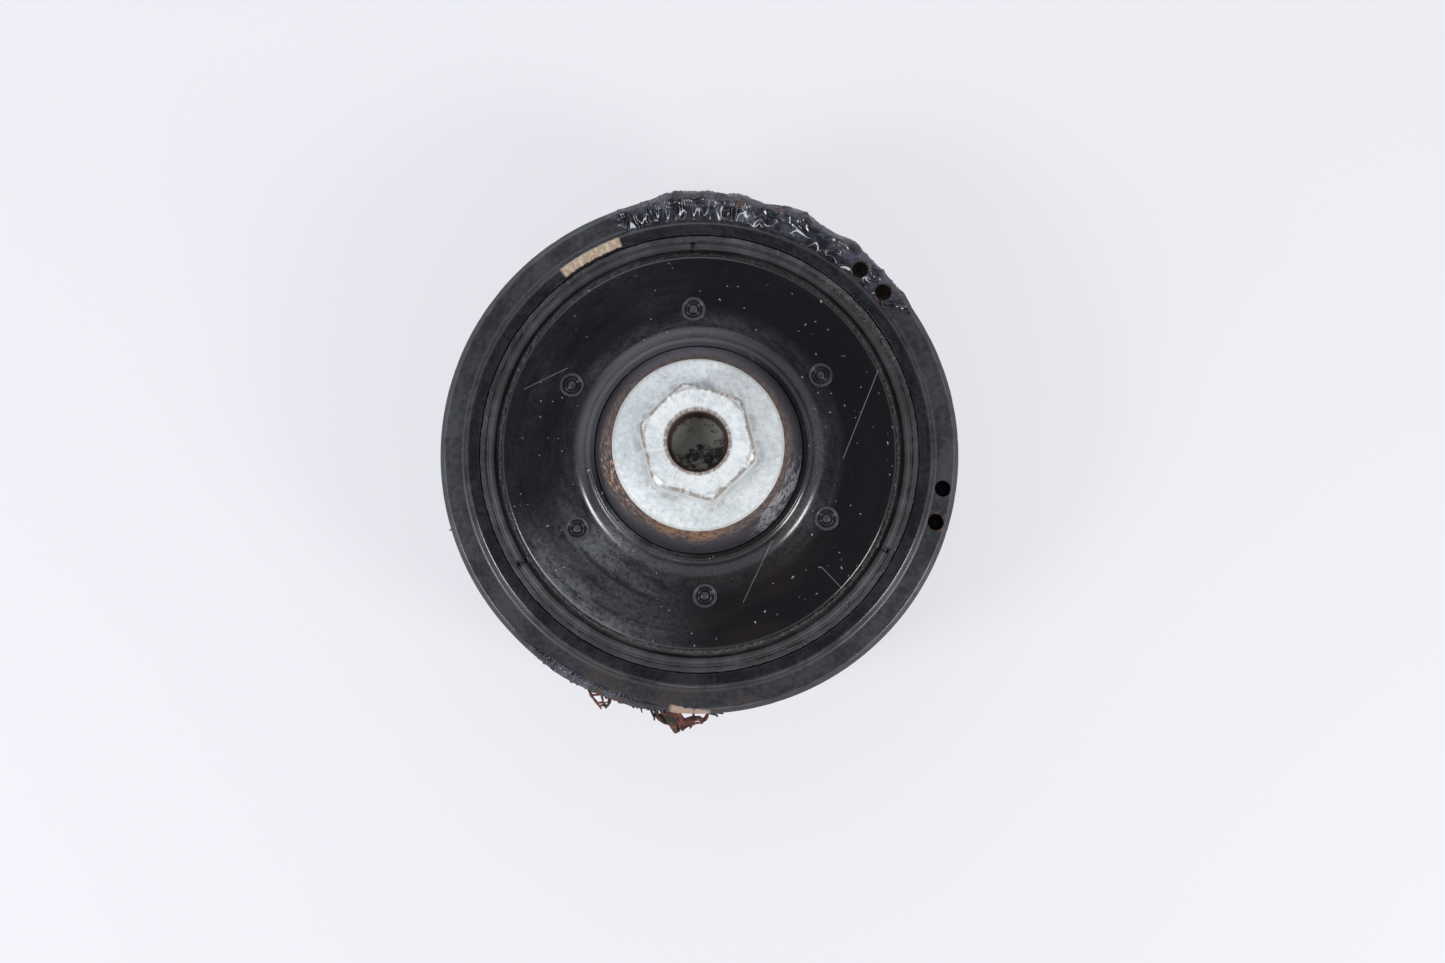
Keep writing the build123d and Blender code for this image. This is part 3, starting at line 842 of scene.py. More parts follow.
@dataclass(frozen=True)
class ZincPlate(Finish):
    """Dull zinc plating on a forged and rolled bolt: pale and soft, dirty round the hexagon's
    foot, rusted in the recess where the plating did not reach, with sludge and painted shadow
    darkening the recess floor towards its lower right."""

    name: str = "zinc_plate"
    base: str = "#cdd2d3"
    shade: str = "#b2b8ba"
    dirt: str = "#66564a"
    rust: str = "#35241d"
    floor: str = "#85867f"
    speck: str = "#77736c"
    rim_dirt: str = "#7f7468"
    rolled: str = "#e3e7e4"
    sludge_and_shadow: str = "#1d1a18"
    cone: float = 14.8 * MM
    crown: float = 90.5 * MM
    flange: float = 79.6 * MM
    flats: float = 15.0 * MM
    turn: float = 43.8
    recess: float = 8.6 * MM

    def surface(self, at: Fields) -> Surface:
        """Blend plating, foot dirt, socket marks, the rusty recess and its painted shadow by place.

        Args:
            at: the coordinates.

        Returns:
            The surface.
        """
        add = at.add
        cloud = add(Do.NOISE, at.place, GRAIN / 6, 5, 0.6)
        fine = add(Do.NOISE, at.place, GRAIN / 0.7, 5, 0.65)
        drift = add(Do.NOISE, at.place, GRAIN / 2.5, 3, 0.6)
        mottle = add(Do.PLUS, add(Do.TIMES, cloud, 0.45), add(Do.TIMES, fine, 0.55))
        colour = add(Do.MIX, add(Do.RAMP, mottle, 0.4, 0.62), self.base, self.shade)
        # reach is the distance to the hexagon's axis measured square to its nearest flat:
        # the radius times the cosine of the turn from that flat's middle
        turned = add(Do.MINUS, at.angle, self.turn - 360.0)
        turned = add(Do.FLOORED_MODULO, turned, 60.0)
        from_flat = add(Do.TIMES, add(Do.MINUS, turned, 30.0), math.pi / 180)
        reach = add(Do.TIMES, at.radius, add(Do.COSINE, from_flat))
        wobble = add(Do.TIMES, add(Do.MINUS, fine, 0.5), 1.6 * MM)
        wander = add(Do.TIMES, add(Do.MINUS, drift, 0.5), 1.4 * MM)
        ragged = add(Do.PLUS, reach, add(Do.PLUS, wobble, wander))
        on_flange = add(Do.RAMP, at.height, self.flange + 3.0 * MM, self.flange + 1.0 * MM)
        foot = at.band(ragged, self.flats - 1.0 * MM, self.flats + 0.75 * MM, 0.5 * MM)
        foot = add(Do.TIMES, foot, on_flange)
        smudge = at.band(ragged, self.flats + 0.6 * MM, self.flats + 2.6 * MM, 1.8 * MM)
        smudge = add(Do.TIMES, smudge, add(Do.RAMP, drift, 0.46, 0.60))
        smudge = add(Do.TIMES, smudge, on_flange)
        worn = add(Do.PLUS, at.radius, wobble)
        crown_edge = at.band(worn, self.cone - 0.35 * MM, self.cone + 0.55 * MM, 0.7 * MM)
        crown_edge = add(Do.TIMES, crown_edge, add(Do.RAMP, drift, 0.30, 0.52))
        on_crown = add(Do.RAMP, at.height, self.crown - 2.2 * MM, self.crown - 0.8 * MM)
        crown_edge = add(Do.TIMES, crown_edge, on_crown)
        mouth = at.band(worn, self.recess - 0.5 * MM, self.recess + 0.95 * MM, 0.7 * MM)
        mouth = add(Do.TIMES, mouth, add(Do.TIMES, on_crown, 0.9))
        on_wall = add(Do.TIMES, at.band(ragged, self.flats - 0.9 * MM, self.flats + 0.3 * MM, 0.6 * MM),
                      add(Do.RAMP, at.height, self.crown - 5.5 * MM, self.crown - 3.5 * MM))
        on_wall = add(Do.TIMES, on_wall, add(Do.RAMP, drift, 0.26, 0.48))
        stain = add(Do.MAXIMUM, add(Do.TIMES, foot, 0.34), add(Do.TIMES, smudge, 0.38))
        stain = add(Do.MAXIMUM, stain, add(Do.TIMES, on_wall, 0.8))
        stain = add(Do.MAXIMUM, stain, add(Do.TIMES, crown_edge, 0.52))
        stain = add(Do.MAXIMUM, stain, mouth)
        colour = add(Do.MIX, stain, colour, self.dirt)
        specks = add(Do.RAMP, fine, 0.63, 0.70)
        colour = add(Do.MIX, add(Do.TIMES, specks, 0.45), colour, self.speck)
        edge = at.band(at.radius, 23.8 * MM, 25.0 * MM, 0.7 * MM)
        colour = add(Do.MIX, add(Do.TIMES, edge, 0.4), colour, self.rim_dirt)
        spokes = add(Do.NOISE, add(Do.STRETCH, at.around, (0.7, 0.7, 0.7)), GRAIN / 2.2, 4, 0.7)
        spokes = add(Do.TIMES, add(Do.RAMP, spokes, 0.47, 0.62), on_crown)
        colour = add(Do.MIX, add(Do.TIMES, spokes, 0.30), colour, self.rolled)
        inside = add(Do.RAMP, at.radius, self.recess + 0.15 * MM, self.recess - 0.15 * MM)
        low = add(Do.RAMP, at.height, self.crown - 0.3 * MM, self.crown - 0.9 * MM)
        hollow = add(Do.TIMES, inside, low)
        hollow = add(Do.TIMES, hollow, add(Do.RAMP, at.height, 70 * MM, 76 * MM))
        floor = add(Do.RAMP, worn, self.recess - 0.9 * MM, self.recess - 1.7 * MM)
        pools = add(Do.PLUS, add(Do.TIMES, drift, 0.5), add(Do.TIMES, fine, 0.5))
        # painted shadow: the recess floor's dark pools gather towards its lower right (235° to 360°), as
        # sludge and as the shadow there
        lower = add(Do.TIMES, at.sector(235, 360, 90), 0.075)
        stained = add(Do.RAMP, add(Do.PLUS, pools, lower), 0.63, 0.49)
        bottom = add(Do.MIX, stained, self.sludge_and_shadow, self.floor)
        inner = add(Do.MIX, floor, self.rust, bottom)
        colour = add(Do.MIX, hollow, colour, inner)
        dull = add(Do.MAXIMUM, add(Do.MAXIMUM, stain, hollow), specks)
        metallic = add(Do.MINUS, 0.14, add(Do.TIMES, dull, 0.14), use_clamp=True)
        roughness = add(Do.PLUS, 0.52, add(Do.TIMES, dull, 0.25))
        return Surface(colour, roughness, metallic, fine, 0.035 * MM)


@dataclass(frozen=True)
class RustyForging(Finish):
    """Turned forged steel: painted black at its foot, bare and rusting towards the bolt, with
    bright patches on one side and copper specks on another that are partly rubbed metal and
    partly painted highlights, and painted light on its top side with painted shade and soot
    on the others and towards its outer edge."""

    name: str = "rusty_forging"
    paint: str = "#5e5962"
    soot_and_shade: str = "#1b1a1d"
    rust: str = "#5e4d47"
    dark_rust: str = "#2c2728"
    orange: str = "#75543a"
    bright: str = "#8c8b90"
    copper: str = "#b08a70"
    machined: str = "#6d6c6b"
    machined_dark: str = "#54504c"

    def surface(self, at: Fields) -> Surface:
        """Blend paint, rust, rubbed metal, painted highlights and painted light and shade by height and
        by the turn round the axis.

        Args:
            at: the coordinates.

        Returns:
            The surface.
        """
        add = at.add
        cloud = add(Do.NOISE, at.place, GRAIN / 4, 5, 0.65)
        fine = add(Do.NOISE, at.place, GRAIN / 0.7, 5, 0.65)
        wobble = add(Do.TIMES, add(Do.MINUS, cloud, 0.5), 14 * MM)
        level = add(Do.PLUS, at.height, wobble)
        lowered = add(Do.TIMES, at.sector(150, 215, 50), 6 * MM)
        level = add(Do.PLUS, level, lowered)
        rusty = add(Do.RAMP, level, 67.0 * MM, 73.5 * MM)
        metal = add(Do.MIX, add(Do.RAMP, fine, 0.38, 0.62), self.dark_rust, self.rust)
        orange = add(Do.TIMES, at.sector(240, 288, 24), add(Do.RAMP, fine, 0.36, 0.6))
        orange = add(Do.TIMES, orange, add(Do.RAMP, level, 69.5 * MM, 72 * MM))
        metal = add(Do.MIX, orange, metal, self.orange)
        # painted glints: bright copper specks on the lower left (178° to 222°), where the other lamp's
        # highlight falls; also bare metal
        copper_specks_and_glints = add(Do.TIMES, at.sector(178, 222, 20), add(Do.RAMP, fine, 0.55, 0.64))
        metal = add(Do.MIX, copper_specks_and_glints, metal, self.copper)
        # painted light and shade: the top side (62° to 122°) gets the lighter paint, the other sides
        # mostly the dark colour
        lit = add(Do.PLUS, add(Do.TIMES, at.sector(62, 122, 60), 0.75), 0.25)
        paint = add(Do.MIX, add(Do.TIMES, lit, add(Do.RAMP, fine, 0.2, 0.5)), self.soot_and_shade, self.paint)
        colour = add(Do.MIX, rusty, paint, metal)
        # painted shade: darker towards the outer edge, where the cone falls away, less on the top side;
        # also soot
        soot_and_shade_skirt = add(Do.RAMP, add(Do.PLUS, at.radius, add(Do.TIMES, wobble, 0.1)), 27.6 * MM, 29.8 * MM)
        soot_and_shade_skirt = add(Do.TIMES, soot_and_shade_skirt, add(Do.MINUS, 0.85, add(Do.TIMES, lit, 0.7)))
        colour = add(Do.MIX, soot_and_shade_skirt, colour, self.soot_and_shade)
        # painted highlight: bright patches on the lower right (306° to 352°), where a lamp's highlight
        # falls on the cone; also rubbed metal
        rubbed_and_highlight = add(Do.TIMES, at.sector(306, 352, 22), add(Do.RAMP, cloud, 0.45, 0.56))
        rubbed_and_highlight = add(Do.TIMES, rubbed_and_highlight, add(Do.RAMP, fine, 0.40, 0.53))
        rubbed_and_highlight = add(Do.TIMES, rubbed_and_highlight, at.band(at.height, 60.5 * MM, 72 * MM, 3 * MM))
        colour = add(Do.MIX, rubbed_and_highlight, colour, self.bright)
        metallic = add(Do.TIMES, rubbed_and_highlight, 0.3)
        roughness = add(Do.PLUS, 0.42, add(Do.TIMES, rusty, 0.34))
        roughness = add(Do.MINUS, roughness, add(Do.TIMES, rubbed_and_highlight, 0.3))
        behind = add(Do.RAMP, at.height, 52 * MM, 50 * MM)
        turned = add(Do.MIX, add(Do.RAMP, cloud, 0.4, 0.7), self.machined, self.machined_dark)
        colour = add(Do.MIX, behind, colour, turned)
        metallic = add(Do.MAXIMUM, metallic, add(Do.TIMES, behind, 0.85))
        lathe = add(Do.LATHE_LINES, at.around, 0.35 / MM, 0.3)
        height = add(Do.PLUS, fine, add(Do.TIMES, lathe, 0.15))
        return Surface(colour, roughness, metallic, height, 0.05 * MM)


@dataclass(frozen=True)
class SmearedBelt(Finish):
    """Belt rubber melted on by friction: black, leathery and glossy on its folds, with rust from
    the metal under it coming through, grey patches of painted sheen and a painted highlight
    on its ridge crests."""

    name: str = "smeared_belt"
    base: str = "#1a1b21"
    painted_sheen_grey: str = "#3d3e48"
    rust: str = "#43231c"
    sediment: str = "#3a2a22"
    crest_highlight_colour: str = "#c4c6cc"
    crest_highlight_share: float = 0.75
    nicks: tuple[tuple[float, float], ...] = ()
    holes: tuple[tuple[float, float], ...] = ()

    def surface(self, at: Fields) -> Surface:
        """Blend black film, painted grey sheen, a painted highlight on the ridge crests, and rust nicks.

        Args:
            at: the coordinates.

        Returns:
            The surface.
        """
        add = at.add
        fine = add(Do.NOISE, at.place, GRAIN / 0.8, 4, 0.6)
        cloud = add(Do.NOISE, at.place, GRAIN / 3, 3, 0.6)
        # painted sheen: grey patches laid on the film by a noise, for its soft sheen
        colour = add(Do.MIX, add(Do.RAMP, cloud, 0.42, 0.64), self.base, self.painted_sheen_grey)
        # painted highlight: the ridge crests are brightened towards a near-white colour
        crest = add(Do.ATTRIBUTE, attribute_name="crest")
        crest = add(Do.RAMP, crest, 0.74, 1.0)
        colour = add(Do.MIX, add(Do.TIMES, crest, self.crest_highlight_share), colour, self.crest_highlight_colour)
        rust: Socket | float = 0.0
        for nick in self.nicks:
            rust = add(Do.MAXIMUM, rust, at.near(nick, 0.5 * MM, 1.5 * MM))
        rust = add(Do.TIMES, rust, add(Do.RAMP, fine, 0.44, 0.54), use_clamp=True)
        colour = add(Do.MIX, rust, colour, self.rust)
        soil: Socket | float = 0.0
        for hole in self.holes:
            soil = add(Do.MAXIMUM, soil, at.near(hole, 2.5 * MM, 3.3 * MM))
        soil = add(Do.TIMES, soil, add(Do.RAMP, fine, 0.40, 0.56), use_clamp=True)
        colour = add(Do.MIX, soil, colour, self.sediment)
        dull = add(Do.MAXIMUM, rust, soil)
        roughness = add(Do.PLUS, 0.11, add(Do.TIMES, add(Do.RAMP, cloud, 0.4, 0.6), 0.12))
        roughness = add(Do.PLUS, roughness, add(Do.TIMES, dull, 0.5))
        return Surface(colour, roughness, 0.0, fine, 0.02 * MM)


@dataclass(frozen=True)
class TornCord(Finish):
    """Torn belt cord and rubber crumb, stained brown by rust."""

    name: str = "torn_cord"
    dark: str = "#35231e"
    brown: str = "#65392f"
    black: str = "#221b19"

    def surface(self, at: Fields) -> Surface:
        """Blend black crumb, dark brown and rusty brown.

        Args:
            at: the coordinates.

        Returns:
            The surface.
        """
        add = at.add
        fine = add(Do.NOISE, at.place, GRAIN / 0.9, 4, 0.7)
        colour = add(Do.MIX, add(Do.RAMP, fine, 0.4, 0.6), self.dark, self.brown)
        patch = add(Do.NOISE, at.place, GRAIN / 2.2, 2, 0.5)
        colour = add(Do.MIX, add(Do.RAMP, patch, 0.52, 0.62), colour, self.black)
        return Surface(colour, 0.8, 0.0, fine, 0.12 * MM)


@dataclass(frozen=True)
class GroovedRim(Finish):
    """Painted iron whose rib flanks the belt has polished, with dried rubber in the roots."""

    name: str = "grooved_rim"
    paint: str = "#26272b"
    polished: str = "#77777a"
    soiled: str = "#3b3734"
    root: float = 74.9 * MM
    crest: float = 77.2 * MM

    def surface(self, at: Fields) -> Surface:
        """Blend paint, polished flanks and dark roots by radius.

        Args:
            at: the coordinates.

        Returns:
            The surface.
        """
        add = at.add
        fine = add(Do.NOISE, at.around, GRAIN / 1.0, 5, 0.6)
        flank = at.band(at.radius, self.root + 0.5 * MM, self.crest, 0.4 * MM)
        flank = add(Do.TIMES, flank, add(Do.RAMP, fine, 0.34, 0.56))
        flank = add(Do.TIMES, flank, at.band(at.height, 3.4 * MM, 25.2 * MM, 0.4 * MM))
        cloud = add(Do.NOISE, at.place, GRAIN / 7, 5, 0.6)
        body = add(Do.MIX, add(Do.RAMP, cloud, 0.42, 0.7), self.paint, self.soiled)
        colour = add(Do.MIX, flank, body, self.polished)
        roughness = add(Do.MINUS, 0.5, add(Do.TIMES, flank, 0.2))
        return Surface(colour, roughness, add(Do.TIMES, flank, 0.9), fine, 0.03 * MM)


@dataclass(frozen=True)
class PressedSteel(Finish):
    """Phosphated pressed steel: dark grey, matt, with a fine crystal grain and oily stains."""

    name: str = "phosphated_steel"
    base: str = "#55565a"
    stain: str = "#3a3532"

    def surface(self, at: Fields) -> Surface:
        """Blend phosphate grey and oily stains.

        Args:
            at: the coordinates.

        Returns:
            The surface.
        """
        add = at.add
        cloud = add(Do.NOISE, at.place, GRAIN / 8, 5, 0.6)
        fine = add(Do.NOISE, at.place, GRAIN / 0.6, 4, 0.6)
        colour = add(Do.MIX, add(Do.RAMP, cloud, 0.42, 0.68), self.base, self.stain)
        roughness = add(Do.PLUS, 0.4, add(Do.TIMES, fine, 0.25))
        return Surface(colour, roughness, 0.7, fine, 0.02 * MM)


@dataclass(frozen=True)
class BearingPlastic(Finish):
    """Moulded polyamide with bearing grease on it: ivory, waxy, browned by dust."""

    name: str = "bearing_polyamide"
    base: str = "#cdbf9e"
    grease: str = "#7d6a4c"

    def surface(self, at: Fields) -> Surface:
        """Blend ivory and greasy brown.

        Args:
            at: the coordinates.

        Returns:
            The surface.
        """
        add = at.add
        cloud = add(Do.NOISE, at.around, GRAIN / 5, 4, 0.6)
        colour = add(Do.MIX, add(Do.RAMP, cloud, 0.45, 0.7), self.base, self.grease)
        return Surface(colour, 0.38, 0.0, cloud, 0.02 * MM)


# ------------------------------------------------------------------ sub-assemblies

def settle(made: bpy.types.Object, finish: Finish, body: str,
           replaced: str | None = None) -> None:
    """Dress a piece, ride it on its body and report it.

    Args:
        made: the piece.
        finish: what its surface is.
        body: the CAD body that it moves with.
        replaced: the CAD node that it stands for.
    """
    finish.dress(made)
    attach(made, body)
    if replaced:
        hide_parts(replaced)
    LOG.info("made %s with %d faces", made.name, len(made.data.polygons))


@dataclass
class InertiaRingAssembly:
    """The heavy ring outside the damper's rubber, and the belt rubber that clings to its edge."""

    outer: float
    bore: float
    rear: float
    front: float
    band_front: float
    chamfer: float = 1.5 * MM
    band_edge: float = 69.05 * MM
    step_run: float = 1.5 * MM
    stations: int = 1008
    hole_radius: float = 2.45 * MM
    hole_depth: float = 8.0 * MM
    drill_half_angle: float = 59.0
    choked_depth: float = 4.2 * MM
    hole_circle: float = 73.4 * MM
    hole_angles: tuple[float, ...] = (41.3, 48.9, 343.7, 351.7)

    @classmethod
    def from_frame(cls) -> "InertiaRingAssembly":
        """Read the ring's main sizes from its CAD node and the rubber's.

        Returns:
            The assembly.
        """
        (low, high), (_, rubber_high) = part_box("inertia_ring"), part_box("damper_rubber")
        return cls(outer=high.x, bore=rubber_high.x + 0.2 * MM, rear=low.z,
                   front=high.z - 1.9 * MM, band_front=high.z)

    def hole_places(self) -> list[tuple[float, float]]:
        """Where the balance drillings are, seen from the front."""
        return [polar(self.hole_circle, angle) for angle in self.hole_angles]

    def outline(self) -> Array:
        """The ring's section, anticlockwise from its rear bore corner.

        Returns:
            (radius, height) rows.
        """
        corners = (
            Corner(self.bore, self.rear, 0.6 * MM),
            Corner(self.outer, self.rear, 0.7 * MM),
            Corner(self.outer, self.front - self.chamfer, 0.35 * MM),
            Corner(self.outer - self.chamfer, self.front, 0.5 * MM),
            Corner(self.band_edge + self.step_run, self.front, 1.3 * MM),
            Corner(self.band_edge, self.band_front, 1.15 * MM),
            Corner(self.bore, self.band_front, 0.35 * MM),
        )
        return rounded_outline(corners, 1.1 * MM)

    def weather(self, points: Array) -> Array:
        """Move the ring's points a little: shallow waves in the paint and nicks along the edge.

        The waves are layered noise along the height. A nick pulls the points of the outer
        edge inwards where a noise of 4 mm cells is above a threshold.

        Args:
            points: the ring's points.

        Returns:
            The moved points.
        """
        radius = radius_of(points)
        angle = degrees_of(points)
        edge = smooth_step(radius, self.outer - 2.2 * MM, self.outer - 0.4 * MM)
        edge *= smooth_step(points[..., 2], self.front - 4 * MM, self.front - 1 * MM)
        chips = smooth_step(layered_noise(points, 2.2 * MM, 5), 0.35, 0.8)
        side = bump_between(angle, 229, 277, 3) + bump_between(angle, 34, 111, 3)
        pull = 0.45 * MM * chips * edge * np.clip(0.12 + side, 0, 1)
        scale = 1 - pull / np.maximum(radius, 1e-6)
        moved = points.copy()
        moved[..., :2] *= scale[..., None]
        face = smooth_step(points[..., 2], self.front - 0.4 * MM, self.front - 0.1 * MM)
        moved[..., 2] += face * 0.018 * MM * layered_noise(points, 6 * MM, 9)
        return moved

    def build(self) -> None:
        """Turn the ring, drill it and put it in the CAD ring's place."""
        made = turned_ring("ring_casting", self.outline(), self.stations, self.weather)
        point = self.hole_radius / math.tan(math.radians(self.drill_half_angle))
        above = self.front + 2 * MM
        places = self.hole_places()
        cut_away(made, drills("balance_drill", places[2:], self.hole_radius,
                              self.front - self.hole_depth, above, point))
        cut_away(made, drills("choked_drill", places[:2], self.hole_radius,
                              self.front - self.choked_depth, above))
        settle(made, RingPaint(holes=tuple(places[:3]), choked=tuple(places[:2])),
               "damper_ring", "inertia_ring")


@dataclass(frozen=True)
class Lump:
    """A bulge of the crust: its angle and spread in degrees and how far it stands out."""

    angle: float
    spread: float
    stand: float


@dataclass
class EdgeCrust:
    """Belt rubber melted on to the ring's front edge: a leathery film with worm-like ridges.

    It runs from the angle first to last, reaches inwards on the face by reach and down the wall
    by wall. film, ridge and fold are its thicknesses, and grain scales its ridges. nicks are
    (radius in mm, angle) of spots where rust comes through.
    """

    ring: InertiaRingAssembly
    name: str
    first: float
    last: float
    reach: float
    wall: float
    film: float
    ridge: float
    fold: float
    lumps: tuple[Lump, ...]
    grain: float = 1.0
    # how much painted highlight the ridge crests get
    crest_highlight_share: float = 0.75
    radial_from: float = 79.0
    taper: float = 5.0
    stations: int = 640
    seed: int = 31
    replaced: str | None = None
    nicks: tuple[tuple[float, float], ...] = ()

    def ridges(self, run: Array, depth: Array, angle: Array) -> Array:
        """Worm-like ridges: a smooth noise n(run, depth) is near zero along winding lines, and
        exp(-(n / 0.19)^2) turns those lines into rounded ridges.

        Args:
            run: distance along the ring's edge, in metres.
            depth: distance from the crust's inner end, in metres.
            angle: the stations' angles in degrees, shaped like run.

        Returns:
            The ridges' height from 0 to 1.
        """
        run, depth = run / self.grain, depth / self.grain
        flat = np.stack([run, depth, 0 * run], axis=-1)
        bent = run + 0.8 * MM * lattice_noise(flat, 3.1 * MM, self.seed + 3)
        sunk = depth + 0.6 * MM * lattice_noise(flat, 2.3 * MM, self.seed + 4)
        along = lattice_noise(np.stack([bent / 3.3, sunk / 1.5, 0 * run], axis=-1), 1 * MM, self.seed + 5)
        across = lattice_noise(np.stack([bent / 0.95, sunk / 4.2, 0 * run], axis=-1), 1 * MM,
                               self.seed + 6)
        share = smooth_step(angle, self.radial_from - 3, self.radial_from + 3)
        field_value = along * (1 - share) + across * share
        return np.exp(-(field_value / 0.19) ** 2)

    def thickness(self, worms: Array, run: Array, depth: Array, past: Array, stand: Array) -> Array:
        """How far the crust stands off the ring: film, ridges near its inner end, broad folds
        with creases near the edge, and the bulge.

        Args:
            worms: the ridges' height from 0 to 1.
            run: distance along the ring's edge.
            depth: distance from the crust's inner end.
            past: distance past the start of the chamfer.
            stand: how far the lumps stand out.

        Returns:
            The thickness in metres.
        """
        flat = np.stack([run, depth, 0 * run], axis=-1)
        near_end = 1 - smooth_step(depth, 3.2 * MM, 5.6 * MM)
        broad = 1 - np.abs(layered_noise(flat * np.array([0.8, 1.2, 1]), 4.6 * MM, self.seed + 9, 2))
        broad = np.clip(broad, 0, 1) ** 2
        over_edge = smooth_step(past, -1.6 * MM, 0.8 * MM) * (1 - smooth_step(past, 5 * MM, 10 * MM))
        thick = self.film * (0.7 + 0.5 * broad) + self.ridge * worms * (0.25 + 0.75 * near_end)
        thick = thick + self.fold * broad * (1 - 0.6 * near_end)
        return thick + over_edge * stand * (0.72 + 0.28 * broad)

    def build(self) -> None:
        """Make the crust.

        Its section follows the ring's face, chamfer and wall; at each station it stands off
        that path by the thickness. Its inner end is scalloped, and it thins to nothing at
        both ends of the arc.
        """
        ring = self.ring
        steps, under_steps = 92, 14
        angle = np.linspace(self.first, self.last, self.stations)
        turn = np.radians(angle)
        direction = np.stack([np.cos(turn), np.sin(turn), 0 * turn], axis=-1)
        ends = bump_between(angle, self.first + self.taper, self.last - self.taper, self.taper)
        track = direction * 60 * MM
        wander = layered_noise(track, 4.5 * MM, self.seed)
        # one scallop takes about 8.5 mm of the edge
        scallop = np.abs(np.sin(turn * ring.outer / (2.7 * MM) + 1.5 * wander))
        reach = self.reach * (0.80 + 0.10 * wander + 0.16 * scallop) * (0.2 + 0.8 * ends)
        wall = self.wall * (0.75 + 0.25 * layered_noise(track, 7 * MM,
                                                        self.seed + 1)) * (0.4 + 0.6 * ends)
        stand = sum(lump.stand * np.exp(-((angle - lump.angle) / lump.spread) ** 2)
                    for lump in self.lumps)
        slope = math.hypot(ring.chamfer, ring.chamfer)

        def path(share: Array) -> tuple[Array, Array, Array, Array]:
            """Points, outward normals, distance from the inner end and distance past the edge.

            Args:
                share: places along the section, from 0 to 1.

            Returns:
                Points, normals, and the two distances.
            """
            along = share[None, :] * (reach + slope + wall)[:, None]
            past = along - reach[:, None]
            down = np.clip(past, 0, slope) / slope * ring.chamfer
            radius = ring.outer - ring.chamfer + np.minimum(past, 0) + down
            height = ring.front - down - np.clip(past - slope, 0, None)
            tilt = smooth_step(past, -1.2 * MM, 3.0 * MM) * math.pi / 2
            here = direction[:, None, :] * radius[..., None]
            here[..., 2] = height
            normal = direction[:, None, :] * np.sin(tilt)[..., None]
            normal[..., 2] = np.cos(tilt)
            return here, normal, along, past

        share = np.linspace(0, 1, steps) ** 1.35
        here, normal, along, past = path(share)
        run = np.broadcast_to((turn * ring.outer)[:, None], along.shape)
        wide_angle = np.broadcast_to(angle[:, None], along.shape)
        worms = self.ridges(run, along, wide_angle)
        thick = self.thickness(worms, run, along, past, stand[:, None])
        rim = np.clip(np.minimum(along / (0.5 * MM), (along[:, -1:] - along) / (2.5 * MM)), 0, 1)
        thick = thick * (0.03 + 0.97 * np.sqrt(rim)) * (0.02 + 0.98 * ends[:, None])
        outer = here + normal * np.minimum(thick, 2.42 * MM)[..., None]
        under, under_normal, _, _ = path(np.linspace(0, 1, under_steps))
        inner = under - under_normal * 0.3 * MM
        section = np.concatenate([outer[:, ::-1], inner], axis=1)
        count = steps + under_steps
        quads = grid_quads(self.stations, count, False, True)
        first_cap = np.arange(count)[None]
        last_cap = first_cap[:, ::-1] + (self.stations - 1) * count
        made = build_mesh(self.name, section.reshape(-1, 3), [quads, first_cap, last_cap], 70)
        # the crest attribute tells the finish where to paint the highlight on the ridges
        crest = np.zeros((self.stations, count), dtype=np.float32)
        near_end = 1 - smooth_step(along, 3.6 * MM, 6.5 * MM)
        crest[:, :steps] = (worms * near_end * ends[:, None])[:, ::-1]
        made.data.attributes.new("crest", "FLOAT", "POINT").data.foreach_set("value", crest.ravel())
        if self.replaced:
            cut_away(made, drills("crust_drill", ring.hole_places()[:2], ring.hole_radius + 0.12 * MM,
                                  ring.front - 6 * MM, ring.front + 4 * MM), 70)
        places = tuple(polar(radius * MM, degrees) for radius, degrees in self.nicks)
        finish = SmearedBelt(name=self.name, crest_highlight_share=self.crest_highlight_share, nicks=places,
                             holes=tuple(ring.hole_places()[:2]))
        settle(made, finish, "damper_ring", self.replaced)


@dataclass(frozen=True)
class Strip:
    """A torn strip of belt cord: its two ends as (angle in degrees, radius in mm), how far it
    bows sideways, and its width, in mm. drop lowers it along the ring's edge."""

    start: tuple[float, float]
    end: tuple[float, float]
    width: float
    bow: float = 0.0
    drop: float = 3.0


